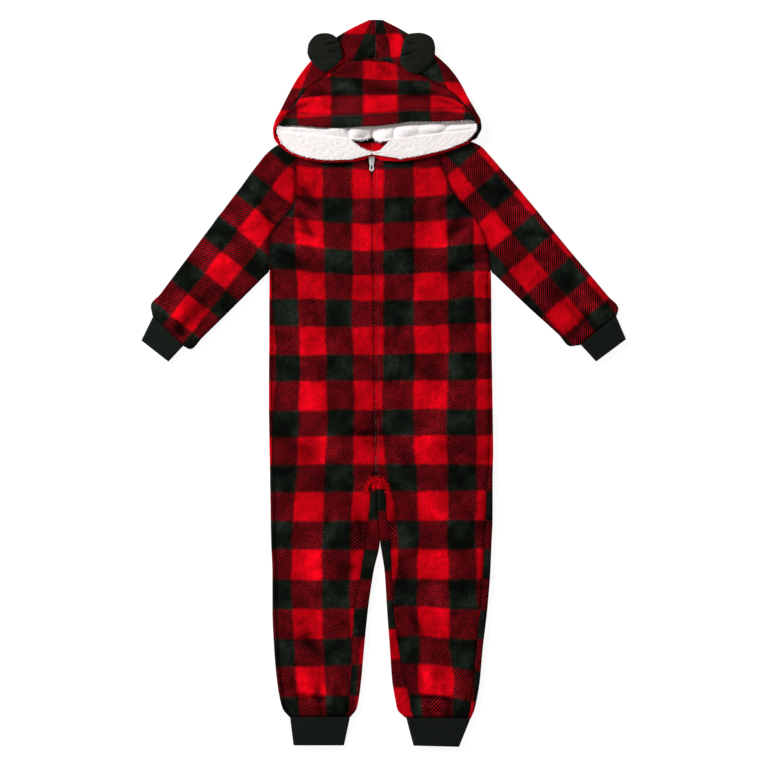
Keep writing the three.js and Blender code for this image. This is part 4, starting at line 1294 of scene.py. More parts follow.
@dataclass(frozen=True)
class Thread:
    """Sewing thread with a twist."""

    name: str
    base: Colour

    def material(self) -> bpy.types.Material:
        """Polyester thread with a slight shine.

        Returns:
            The material.
        """
        g = Graph(self.name)
        twist = g.noise(1800, 2, 0.5)
        shown = g.mix(g.ramp(twist, 0.3, 0.7), self.base, darker(self.base, 0.6))
        normal = g.relief((twist, 0.0002, 0.5))
        return g.finish(base_color=shown, roughness=0.5, normal=normal, sheen_weight=0.1, sheen_roughness=0.4)


@dataclass(frozen=True)
class CastMetal:
    """Bright die-cast zinc with slight wear."""

    bright: Colour = colour(0.93, 0.92, 0.9)
    dull: Colour = colour(0.66, 0.65, 0.63)

    def material(self) -> bpy.types.Material:
        """Polished metal with faint scratches.

        Returns:
            The material.
        """
        g = Graph("zip_metal")
        scratch = g.noise(900, 3, 0.6, stretch=(1.0, 0.12, 1.0))
        shown = g.mix(g.ramp(g.noise(420, 4, 0.6), 0.4, 0.75), self.bright, self.dull)
        rough = g.math("MULTIPLY_ADD", scratch, 0.22, 0.34)
        normal = g.relief((scratch, 0.00008, 0.3))
        return g.finish(base_color=shown, metallic=0.7, roughness=rough, normal=normal)


@dataclass(frozen=True)
class Paper:
    """The pale floor."""

    tone: Colour = colour(0.3, 0.3, 0.3)

    def material(self) -> bpy.types.Material:
        """Matt white that glows a little, as a lit sweep does.

        Returns:
            The material.
        """
        g = Graph("floor")
        shown = g.mix(g.noise(90, 3, 0.5), self.tone, darker(self.tone, 0.985))
        return g.finish(base_color=shown, roughness=0.9, specular_ior_level=0.0,
                        emission_color=colour(1, 1, 1), emission_strength=0.86)


# Dressing


@dataclass(frozen=True)
class Cut:
    """Flat size of a sheet in metres, and its area in square metres."""

    wide: float
    long: float
    area: float

    def lay(self, piece: bpy.types.Object, *under: str) -> None:
        """Takes a piece and the pieces under it, and does nothing with them."""


def dress(piece: bpy.types.Object, material: bpy.types.Material, slot: Slot, *nodes: str,
          body: str = "garment") -> bpy.types.Object:
    """Gives a piece its finish, lets it ride on a body and stand for CAD nodes.

    Args:
        piece: The piece.
        material: Its finish.
        slot: The record's slot; not used.
        *nodes: CAD nodes that it stands for.
        body: The body that carries it.

    Returns:
        The piece.
    """
    piece.data.materials.append(material)
    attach(piece, body)
    if nodes:
        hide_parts(*nodes)
    LOG.info("%s: %d faces", piece.name, len(piece.data.polygons))
    return piece


def plush_panel(name: str, plain: Grid, grid: Grid, check: Check, plush: bpy.types.Material,
                node: str) -> bpy.types.Object:
    """Makes a panel of checked plush.

    Args:
        name: The piece's name.
        plain: Its outer points without folds.
        grid: Its outer points.
        check: Gives the check's column and row.
        plush: Its finish.
        node: CAD node that it stands for.

    Returns:
        The piece, with column, row and lift over the plain cloth stored on both faces.
    """
    piece = wall(name, grid, CLOTH)
    x, y = grid.xy
    u, v = check(x + SHIFT[0], y + SHIFT[1], grid.tops)
    # the finish paints shade in the troughs and light on the ridges from this lift
    lift = np.where(grid.tops > 0.4, grid.points[..., 2] - plain.points[..., 2], 0.0)
    values = np.stack([u, v, lift], -1).reshape(-1, 3)
    spread(piece, "check", np.concatenate([values, values]))
    return dress(piece, plush, Slot.PLUSH, node)


# Sub-assemblies


@dataclass
class Body:
    """Front and back panels, from the neckline to the ankles."""

    step: float = 3.4
    columns: int = 52
    zip_cover: float = 1.15  # the pile's reach over the coil
    covered: tuple[float, float] = (-50.0, 345.0)
    touching: tuple[float, float] = (-270.0, -164.0)
    flat_to: float = 24.0  # from here the underside runs on to its centre seam
    turned: float = 8.0
    around: tuple[float, ...] = (0, 18, 36, 54, 72, 90, 108, 130, 155)
    inner: tuple[float, ...] = (175, 155, 135, 115, 95, 75, 55, 35, 15, 0)
    front_cut: Cut = Cut(0.205, 0.975, 0.155)
    back_cut: Cut = Cut(0.215, 0.99, 0.165)
    arch: tuple[float, float, float] = (-12.4, -184.0, 17.0)
    gusset: tuple[float, float, float] = (-12.6, -166.0, 4.5)
    tufts: int = 270

    def side_edge(self, side: Side, x: float, y: float, cut: int) -> Array:
        """The outermost point of a level, lapped into the raglan seam where the level is cut."""
        return np.array([x - (LAP * side.value if cut else 0), y])

    def front(self, side: Side) -> Grid:
        """Outer points of one front panel, from the centre to the side.

        Args:
            side: Which panel.

        Returns:
            The plain panel.
        """
        rows = []
        for sx, sy, fx, fy, _, _, cut, wrap, _ in BODY[side]:
            edge = self.side_edge(side, sx, sy, cut)
            cover = self.zip_cover if self.covered[0] < fy < self.covered[1] else 0.0
            mid = np.array([fx + (cover - SEAM) * side.value, fy])
            end = edge if cut == 1 else inward(edge, mid, (wrap or EDGE) + SEAM)
            rows.append(Row().run(mid, end, self.columns, FLAT, 1, last=True))
        return Grid.of(rows).refined(self.step)

    def back(self, side: Side) -> Grid:
        """Outer points of one back panel, from the side seam round and under to the centre or the inseam.

        Args:
            side: Which panel.

        Returns:
            The plain panel.
        """
        rows = []
        turns = len(self.inner)
        for sx, sy, fx, fy, bx, by, cut, wrap, inseam in BODY[side]:
            edge = self.side_edge(side, sx, sy, cut)
            legs_touch = self.touching[0] < by < self.touching[1]
            mid = np.array([bx + (SEAM if legs_touch else -SEAM) * side.value, by])
            start = inward(edge, mid, EDGE)
            row = Row()
            if cut == 2:
                row.arc(edge, mid, 0, FLAT, np.linspace(92, 172, len(self.around) + 2))
            elif cut:
                row.run(edge, start, len(self.around) + 2, 0.0, -1)
            else:
                row.run(inward(edge, mid, wrap), start, 2, FLAT, 1).arc(edge, mid, 0, FLAT, self.around)
            end = inward(mid, edge, EDGE if inseam > 0 else self.flat_to)
            if inseam < 0:
                tail = Row().run(end, inward(mid, edge, self.turned), 4, 0.0, -1)
                tail.arc(mid, edge, 0, FLAT, np.linspace(180, 92, turns + 1))
            elif inseam:
                seam = inward(np.array([fx, fy], dtype=float), mid, SEAM + 0.03)
                tail = Row().arc(mid, edge, 0, FLAT, self.inner)
                tail.run(end, seam, 5, FLAT, 1, first=False, last=True)
            else:
                tail = Row().run(end, mid, turns + 4, 0.0, -1, last=True)
            rows.append(row.run(start, end, self.columns // 2, 0.0, -1).add(tail))
        return Grid.of(rows).refined(self.step)

    def crotch_pile(self, seed: int = 3) -> list[Solid]:
        """Tufts of pile that stand out of the seams where the legs part, on a small gusset.

        Args:
            seed: Start of the random draws.

        Returns:
            The gusset and the tufts.
        """
        rng = np.random.default_rng(seed)
        turn = np.linspace(0, 2 * math.pi, 12, endpoint=False)
        x, y, radius = self.gusset
        made = [plate(np.column_stack([x + radius * np.cos(turn), y + radius * np.sin(turn)]), 3.2, 4.8)]
        x, y, radius = self.arch
        for a in rng.uniform(-0.3, math.pi + 0.3, self.tufts):
            out = radius + rng.normal(0, 2.2)
            root = np.array([x + out * math.cos(a), y + 1.1 * out * math.sin(a)])
            turn = a + rng.uniform(-1.1, 1.1)
            flat = root + np.outer(TUFT, (math.cos(turn), math.sin(turn))) * rng.uniform(2.0, 4.6)
            z = FLAT - 0.9 + top_relief(*flat.T) + rng.uniform(0.7, 1.5) * np.sin(TUFT * 2.4)
            made.append(strand(np.column_stack([flat, z]), [0.7, 0.85, 0.6, 0.2]))
        return made

    def build(self, plush: bpy.types.Material) -> None:
        """Makes the four panels and the pile between the legs.

        Args:
            plush: Their finish.
        """
        checks = {Side.LEFT: leg_strip_left, Side.RIGHT: leg_strip_right}
        for side in Side:
            plain = self.front(side)
            grid = plain.folded().dipped(start=0.7, end=1.5, foot=1.8, wide=4.5)
            name = f"front_{side.word}"
            piece = plush_panel(f"{name}_cloth", plain, grid, body_check, plush, name)
            self.front_cut.lay(piece, f"back_{side.word}_cloth")
            if side is Side.LEFT:
                pile = joined("crotch_pile", self.crotch_pile())
                spread(pile, "check", np.tile([1.5, 1.5, 0.0], (len(pile.data.vertices), 1)))
                dress(pile, plush, Slot.PLUSH)
            plain = self.back(side)
            grid = plain.folded().dipped(start=0.8, end=0.8, foot=1.6, wide=2.6)
            name = f"back_{side.word}"
            piece = plush_panel(f"{name}_cloth", plain, grid, checks[side], plush, name)
            self.back_cut.lay(piece, "floor")


@dataclass
class Sleeves:
    """Raglan sleeves, each one piece folded along the top of the arm."""

    step: float = 3.4
    columns: int = 34
    cut: Cut = Cut(0.23, 0.42, 0.072)

    def grid(self, side: Side) -> Grid:
        """Outer points of a sleeve, from its seam over the top, round the fold and back below.

        Args:
            side: Which sleeve.

        Returns:
            The plain sleeve.
        """
        rows = []
        for ox, oy, ix, iy, cut in SLEEVE[side]:
            outer = np.array([ox, oy], dtype=float)
            inner = np.array([ix - (SEAM * side.value if cut else 0), iy])
            outside = inward(outer, inner, EDGE)
            inside = inward(inner, outer, EDGE)
            row = Row()
            if cut:
                row.run(inner, inside, 5, FLAT, 1)
            else:
                row.arc(inner, outer, 0, FLAT, (86, 66, 46, 26, 10))
            row.run(inside, outside, self.columns, FLAT, 1).arc(outer, inner, 0, FLAT, range(0, 181, 20))
            row.run(outside, inside, self.columns // 2, 0.0, -1, first=False, last=True)
            if cut:
                row.run(inside, inner, 5, 0.0, -1, first=False, last=True)
            else:
                row.arc(inner, outer, 0, FLAT, (170, 152, 134, 114, 94))
            rows.append(row)
        return Grid.of(rows).refined(self.step)

    def build(self, plush: bpy.types.Material) -> None:
        """Makes both sleeves.

        Args:
            plush: Their finish.
        """
        for side in Side:
            plain = self.grid(side)
            grid = plain.folded().dipped(start=1.6, foot=1.8, wide=4.5)
            name = f"sleeve_{side.word}"
            self.cut.lay(plush_panel(f"{name}_cloth", plain, grid, sleeve_check(side), plush, name), "floor")


@dataclass
class Hood:
    """Two hood halves and the front band over the mouth."""

    step: float = 3.0
    columns: int = 26
    half_cut: Cut = Cut(0.2, 0.3, 0.043)
    band_cut: Cut = Cut(0.35, 0.12, 0.031)
    hem: float = 20.0
    rolled: tuple[float, ...] = (0.9, 0.35, 0.08)
    lip_turns: tuple[float, ...] = (180, 162.5, 145, 130, 117.5, 110, 102.5, 95)
    tacks: tuple[tuple[float, float], ...] = ((-13.4, 576), (-16.4, 551.6))

    def half(self, side: Side) -> Grid:
        """Outer points of a half, from the centre of its underside round the edge to the band or the lip.

        Args:
            side: Which half.

        Returns:
            The plain half.
        """
        rows = []
        for ex, ey, mx, my, sx, sy, lift_edge, lift_mid, high in HOOD[side]:
            lip = sx == 0 and sy == 0
            mid = np.array([mx - SEAM * side.value, my])
            edge = np.array([ex, ey], dtype=float)
            row = Row().run(mid, inward(edge, mid, EDGE), self.columns, climb(lift_mid, lift_edge, 1.4), -1)
            row.arc(edge, mid, lift_edge, high, self.lip_turns if lip else np.linspace(180, 20, 8))
            tip = row.points[-1][-1]
            if lip:
                up = np.outer(np.linspace(0, 2.5, self.columns + 1)[1:], (0, 0, 1))
                row.put(tip + up, row.normals[-1][-1], 0.5)
            else:
                seam = np.array([sx - SEAM * side.value, sy])
                rise = climb(tip[2], lift_edge + high, 3)
                row.run(tip[:2], seam, self.columns, rise, 1, first=False, last=True)
            rows.append(row)
        return Grid.of(rows).refined(self.step)

    def band(self) -> Grid:
        """Outer points of the band, from its hem to the crown's seam.

        Returns:
            The plain band.
        """
        rows = []
        shares = np.concatenate([[0, 0.012, 0.03], np.linspace(0.055, 1, 44)])
        for rx, ry, sx, sy, z_rim, z_seam in BAND:
            points = between((rx, ry, z_rim), (sx, sy - 0.4, z_seam), shares)
            points[:3, 2] -= self.rolled
            rows.append(Row().put(points, (0, 0, 1), 1))
        return Grid.of(rows).refined(self.step)

    def fringe(self, band: Grid, seed: int = 17) -> bpy.types.Object:
        """Tufts of the band's pile that reach past its hem.

        Args:
            band: The band's outer points.
            seed: Start of the random draws.

        Returns:
            The new piece.
        """
        rng = np.random.default_rng(seed)
        edge = band.points[:, 1]
        made, cells = [], []
        for i in np.repeat(np.arange(2, len(edge) - 2), 2):
            base = edge[i] + (rng.uniform(-1.4, 1.4), 0.9, -0.7)
            way = np.array([rng.uniform(-0.5, 0.5), -1.0]) * rng.uniform(1.2, 5.0)
            path = np.column_stack([base[:2] + np.outer(TUFT, way), base[2] - 1.1 * TUFT**2])
            made.append(strand(path, [0.6, 0.75, 0.55, 0.2]))
            u, v = band_check(*(base + SHIFT))
            cells.append(np.tile([float(u), float(v), 0.0], (len(made[-1][0]), 1)))
        piece = joined("hood_fringe", made)
        spread(piece, "check", np.concatenate(cells))
        return piece

    def stitching(self, band: Grid) -> list[Solid]:
        """The hem's topstitch, and two tacks on the crown's seam.

        Args:
            band: The band's outer points.

        Returns:
            Closed strands.
        """
        across = band.reach(1)
        line = np.array([[np.interp(self.hem, across[i], band.points[i, :, k]) for k in range(3)]
                         for i in range(6, len(across) - 5)])
        sewn = stitches(line + (0, 0, -0.1))
        for x, y in self.tacks:
            path = np.array([(0, -1.4, 8.2), (0.2, -0.6, 9.9), (0.4, 0.6, 9.9), (0.6, 1.4, 8.2)]) + (x, y, 0)
            sewn.append(strand(path, [0.3, 0.42, 0.42, 0.3]))
        return sewn

    def build(self, plush: bpy.types.Material, thread: bpy.types.Material) -> None:
        """Makes the halves, the band and their stitches.

        Args:
            plush: Finish of the cloth.
            thread: Finish of the stitches.
        """
        checks = {Side.LEFT: hood_check_left, Side.RIGHT: hood_check_right}
        for side in Side:
            plain = self.half(side)
            x, y = plain.xy
            folds = (fold_sum(x, y, HOOD_FOLDS) + ripple(x, y)) * plain.tops
            folds += underside_relief(x, y) * (1 - plain.tops) ** 2
            grid = plain.raised(folds * smooth((y - 436) / 14)).dipped(end=0.35)
            name = f"hood_{side.word}_cloth"
            piece = plush_panel(name, plain, grid, checks[side], plush, f"hood_back_{side.word}")
            self.half_cut.lay(piece, "floor")
        plain = self.band()
        x, y = plain.xy
        across = plain.reach(1)
        folds = (fold_sum(x, y, BAND_FOLDS) + ripple(x, y)) * smooth(across / 30)
        hem = 0.5 * hill(across - 11, 6) - 1.1 * hill(across - self.hem, 2.4) + 0.5 * hill(across - 27, 6)
        grid = plain.raised(folds + hem).dipped(end=0.8)
        piece = plush_panel("hood_band_cloth", plain, grid, band_check, plush, "hood_front")
        self.band_cut.lay(piece, "lining_left_pile", "lining_right_pile")
        dress(self.fringe(grid), plush, Slot.PLUSH)
        dress(joined("hood_stitches", self.stitching(grid)), thread, Slot.PLUSH)


class Curls:
    """Heights of the sherpa's curls, the same wherever two pieces meet."""

    def __init__(self, pitch: float = 4.6, seed: int = 11) -> None:
        """Scatters curls over the hood on a loose grid.

        Args:
            pitch: Distance between two curls.
            seed: Start of the random draws.
        """
        rng = np.random.default_rng(seed)
        gx, gy = np.meshgrid(np.arange(-200, 180, pitch), np.arange(360, 530, pitch))
        loose = rng.uniform(-0.45, 0.45, (gx.size, 2)) * pitch
        self.centres = np.column_stack([gx.ravel(), gy.ravel()]) + loose
        self.sizes = rng.uniform(0.55, 0.95, gx.size) * pitch
        self.heights = rng.uniform(0.5, 1.0, gx.size)

    def at(self, x: Array, y: Array, batch: int = 4000) -> Array:
        """Reads the curls.

        Args:
            x: X of each point.
            y: Y of each point.
            batch: Number of points read at once.

        Returns:
            Height from 0 to 1 at each point.
        """
        flat = np.column_stack([x.ravel(), y.ravel()])
        best = []
        for start in range(0, len(flat), batch):
            away = flat[start : start + batch, None] - self.centres[None]
            gap = np.hypot(away[..., 0], away[..., 1])
            best.append((self.heights * np.sqrt(np.clip(1 - (gap / self.sizes) ** 2, 0, 1))).max(axis=1))
        return np.concatenate(best).reshape(x.shape)


@dataclass
class Lining:
    """Sherpa lining of the hood with its curls and the tufts along its edges."""

    step: float = 1.9
    columns: int = 84
    curl: float = 0.85
    puff: float = 3.6
    half_cut: Cut = Cut(0.16, 0.15, 0.017)
    rim_cut: Cut = Cut(0.31, 0.03, 0.0088)
    rim_thick: float = 2.4
    rim_span: tuple[float, float] = (1.5, 30.0)
    neck: tuple[float, float, float] = (409.0, 418.0, 15.0)
    seed: int = 5
    curls: Curls = field(default_factory=Curls)

    def half(self, side: Side) -> tuple[Grid, Array]:
        """Outer points of a half, and its thickness at each.

        Args:
            side: Which half.

        Returns:
            The plain half and the thickness.
        """
        rows, thick = [], []
        for ex, ey, mx, my, z_edge, z_mid, t in LINING[side]:
            mid = np.array([mx - SEAM * side.value, my])
            height = climb(z_mid + LAY + t, z_edge + LAY + t, 3.4)
            rows.append(Row().run(mid, np.array([ex, ey], dtype=float), self.columns, height, 1, last=True))
            thick.append(t)
        coarse = Grid.of(rows)
        coarse.tops = np.repeat(np.array(thick)[:, None], coarse.points.shape[1], axis=1)
        fine = coarse.refined(self.step)
        return fine, fine.tops

    def rim(self) -> Grid:
        """Outer points of the strip turned under the hem.

        Returns:
            The plain strip.
        """
        rows = []
        for rx, ry, sx, sy, z_rim, z_seam in BAND[1:-1]:
            shares = np.linspace(*self.rim_span, 16) / math.hypot(sx - rx, sy - ry)
            points = between((rx, ry, z_rim), (sx, sy, z_seam), shares) - (0, 0, CLOTH + LAY + 0.4)
            rows.append(Row().put(points, (0, 0, 1), 1))
        return Grid.of(rows).refined(self.step)

    def tufts(self, grid: Grid, column: int, rows: Iterable[int], sign: int, rng: np.random.Generator,
              reach: float = 3.4) -> list[Solid]:
        """Small curls of pile along one edge of a piece.

        Args:
            grid: The piece's outer points.
            column: The edge's column.
            rows: The rows that have tufts.
            sign: 1 where the tufts point the way the columns run.
            rng: Source of the unevenness.
            reach: Greatest length of a tuft; those at the back of the neck hang down and are longer.

        Returns:
            Closed strands.
        """
        made = []
        hangs = reach > 4
        low = 0.0 if hangs or sign > 0 else 1.0
        for i in np.repeat(np.asarray(rows), 2):
            base = grid.points[i, column]
            way = (base - grid.points[i, column - 2 * sign])[:2]
            way = np.array([0.0, -1.0]) if hangs else way / np.linalg.norm(way)
            turn = rng.uniform(-0.9, 0.9)
            way = np.array([[math.cos(turn), -math.sin(turn)], [math.sin(turn), math.cos(turn)]]) @ way
            length = rng.uniform(0.36, 1.0) * reach
            bend = rng.uniform(-1.0, 1.0)
            flat = base[:2] - way * 1.6 + np.outer(TUFT, way) * (length + 1.6)
            flat += np.outer(TUFT**2, (-way[1], way[0])) * bend
            z = base[2] - rng.uniform(0.4, 2.6) + 0.9 * np.sin(TUFT * math.pi) - low
            made.append(strand(np.column_stack([flat, z]), [0.8, 1.0, 0.75, 0.25]))
        return made

    def edge_tufts(self, grid: Grid, rng: np.random.Generator) -> list[Solid]:
        """Tufts round one half.

        Args:
            grid: The half's outer points.
            rng: Source of the unevenness.

        Returns:
            Closed strands along its outer edge, beside the neck opening and at the back of the neck.
        """
        first_lip = np.where(grid.points[:, -1, 1] < 440)[0][0]
        gap = np.where(grid.points[:, 0, 1] < 416)[0]
        made = self.tufts(grid, -1, range(first_lip, len(grid.points)), 1, rng)
        made += self.tufts(grid, 1, range(gap[0], gap[-1] - 6), -1, rng)
        _, y, z = grid.points[:, 1].T
        low, high, top = self.neck
        neck = np.where((y < high) & (y > low) & (z < top))[0]
        return made + self.tufts(grid, 1, np.repeat(neck, 2), -1, rng, reach=5.4)

    def build(self, sherpa: bpy.types.Material) -> None:
        """Makes the two halves, the strip under the hem and the tufts.

        Args:
            sherpa: Their finish.
        """
        rng = np.random.default_rng(self.seed)
        tufts = []
        for side in Side:
            grid, thick = self.half(side)
            x, y = grid.xy
            inside = smooth((y - 402) / 6) * smooth((15.6 - grid.points[..., 2]) / 3)
            lobes = sum(high * hill(x - cx, a) * hill(y - cy, b) for cx, cy, a, b, high in LOBES)
            lobes = lobes + self.puff * hill(y - 432, 6.5)
            gaps = fold_sum(x, y, LOBE_GAPS)
            curl = self.curls.at(x, y)
            lift = self.curl * (curl - 0.5) + 0.35 * ripple(x, y) + (lobes + gaps) * inside
            grid = grid.raised(lift)
            piece = wall(f"lining_{side.word}_pile", grid, thick + lift * 0.8)
            # painted shade, darker at the bottoms of the curls and in the gaps between the lobes, stored for
            # the finish
            shade = np.clip(0.45 + 0.55 * curl + 0.3 * gaps * np.clip(inside + 0.4, 0, 1), 0, 1).ravel()
            spread(piece, "curl", np.tile(shade, 2))
            dress(piece, sherpa, Slot.SHERPA, f"lining_{side.word}")
            self.half_cut.lay(piece, f"hood_{side.word}_cloth")
            tufts += self.edge_tufts(grid, rng)
        grid = self.rim()
        curl = self.curls.at(*grid.xy)
        grid = grid.raised(0.5 * (curl - 1.0))
        piece = wall("lining_rim_pile", grid, self.rim_thick)
        # the curls' heights, stored for the finish, give painted shade at their bottoms
        spread(piece, "curl", np.tile(curl.ravel(), 2))
        dress(piece, sherpa, Slot.SHERPA, "lining_front")
        self.rim_cut.lay(piece, "hood_band_cloth")
        tufts += self.tufts(grid.raised(0.6), 1, range(2, len(grid.points) - 2), -1, rng)
        piece = joined("lining_tufts", tufts)
        spread(piece, "curl", np.ones(len(piece.data.vertices)))
        dress(piece, sherpa, Slot.SHERPA)


@dataclass
class Cuffs:
    """Rib cuffs as flattened rings with raised ribs."""

    pitch: float = 3.3
    depth: float = 0.55
    rows: int = 18
    turns: tuple[float, ...] = (180, 155, 130, 110, 90, 70, 50, 25, 0)
    heights: dict[str, float] = field(default_factory=lambda: {"wrist": 0.043, "ankle": 0.048})

    def grid(self, sizes: tuple[float, ...]) -> Grid:
        """Outer points of a cuff from its seam to its open edge.

        Args:
            sizes: The two ends of the seam and then of the open edge.

        Returns:
            The ribbed cuff.
        """
        seam_a, seam_b, open_a, open_b = np.array(sizes, dtype=float).reshape(4, 2)
        ribs = round(np.linalg.norm(seam_b - seam_a) / self.pitch)
        rows = []
        for t in np.linspace(-0.009, 1, self.rows):
            a = seam_a + (open_a - seam_a) * t
            b = seam_b + (open_b - seam_b) * t
            near, far = inward(a, b, EDGE), inward(b, a, EDGE)
            high = FLAT - 0.6 * t
            row = Row().arc(a, b, 0, high, self.turns)
            row.run(near, far, ribs * 5, lambda s: high + 0.5 * np.sin(math.pi * s), 1, first=False)
            row.arc(b, a, 0, high, self.turns[::-1])
            rows.append(row.run(far, near, ribs * 5, 0.0, -1, first=False))
        grid = Grid.of(rows)
        share = np.linspace(0, 1, self.rows)[:, None]
        around = grid.reach(1)
        rib = np.abs(np.cos(math.pi * (around / around[:, -1:] * 2 * ribs))) ** 0.7
        rounded = self.depth * smooth(share * 9) * smooth((1 - share) * 12 + 0.3)
        grid.points = grid.points + grid.normals * ((rib - 0.75) * rounded)[..., None]
        grid.points[..., 2] = np.maximum(grid.points[..., 2], 0.0)
        return grid

    def build(self, rib: bpy.types.Material) -> None:
        """Makes the four cuffs.

        Args:
            rib: Their finish.
        """
        for name, sizes in CUFFS.items():
            piece = dress(wall(f"{name}_rib", self.grid(sizes), RIB, ring=True), rib, Slot.RIB, name)
            around = 2 * math.hypot(sizes[2] - sizes[0], sizes[3] - sizes[1]) * MM
            high = self.heights[name.split("_")[1]]
            Cut(around, high, around * high * 0.92).lay(piece, "floor")


@dataclass
class Ears:
    """Padded round ears gathered at the seam between band and crown."""

    base: float = 10.6
    high: float = 5.6
    below: float = 0.42  # share of the height under the widest line
    around: int = 96

    def outline(self, side: Side) -> Array:
        """A smooth closed outline.

        Args:
            side: Which ear.

        Returns:
            Points round the ear.
        """
        corners = np.array(EARS[side], dtype=float)
        n = len(corners)
        s = np.arange(self.around) / self.around * n
        k = s.astype(int)
        t = (s - k)[:, None]
        p0, p1, p2, p3 = (corners[(k + d) % n] for d in (-1, 0, 1, 2))
        bent = (2 * p0 - 5 * p1 + 4 * p2 - p3) * t**2 + (3 * p1 - p0 - 3 * p2 + p3) * t**3
        return 0.5 * (2 * p1 + (p2 - p0) * t + bent)

    def ring(self, flat: Array, dome: float, pleats: Sequence[tuple[float, ...]] | None) -> Array:
        """One ring of points.

        Args:
            flat: X and Y of each point.
            dome: How high the padding stands there.
            pleats: Gathers of the upper face, or None below.

        Returns:
            The ring.
        """
        if pleats is None:
            z = np.full(len(flat), self.base + self.high * self.below * (1 - dome))
        else:
            z = self.base + self.high * (self.below + 0.62 * dome)
            z = z + (fold_sum(*flat.T, pleats) + 0.5 * ripple(*(flat.T * 1.5))) * dome
        return np.column_stack([flat, np.maximum(z, self.base)])

    def build(self, fleece: bpy.types.Material) -> None:
        """Makes both ears.

        Args:
            fleece: Their finish.
        """
        n = self.around
        shares = np.concatenate([[0.0], np.linspace(0.06, 1, 30)]) ** 0.8
        levels = [(f, True) for f in shares[1:]] + [(f, False) for f in shares[1:-1][::-1]]
        for side in Side:
            line = self.outline(side)
            centre = line.mean(axis=0)
            rings = [self.ring(centre + (line - centre) * f, math.sqrt(max(0.0, 1 - f**5)),
                               PLEATS[side] if upper else None) for f, upper in levels]
            points = np.concatenate([*rings, [rings[0].mean(axis=0)], [rings[-1].mean(axis=0)]])
            last = (len(rings) - 1) * n
            faces = [[i + j, i + (j + 1) % n, i + n + (j + 1) % n, i + n + j]
                     for i in range(0, last, n) for j in range(n)]
            faces += [[len(points) - 2, (j + 1) % n, j] for j in range(n)]
            faces += [[len(points) - 1, last + j, last + (j + 1) % n] for j in range(n)]
            if turns_left(line):
                faces = [face[::-1] for face in faces]
            piece = mesh_piece(f"ear_{side.word}_pad", points, faces)
            dress(piece, fleece, Slot.EAR, f"ear_{side.word}")


def turns_left(line: Array) -> bool:
    """Whether a closed line turns left."""
    after = np.roll(line, -1, axis=0)
    return float((line[:, 0] * after[:, 1] - line[:, 1] * after[:, 0]).sum()) > 0


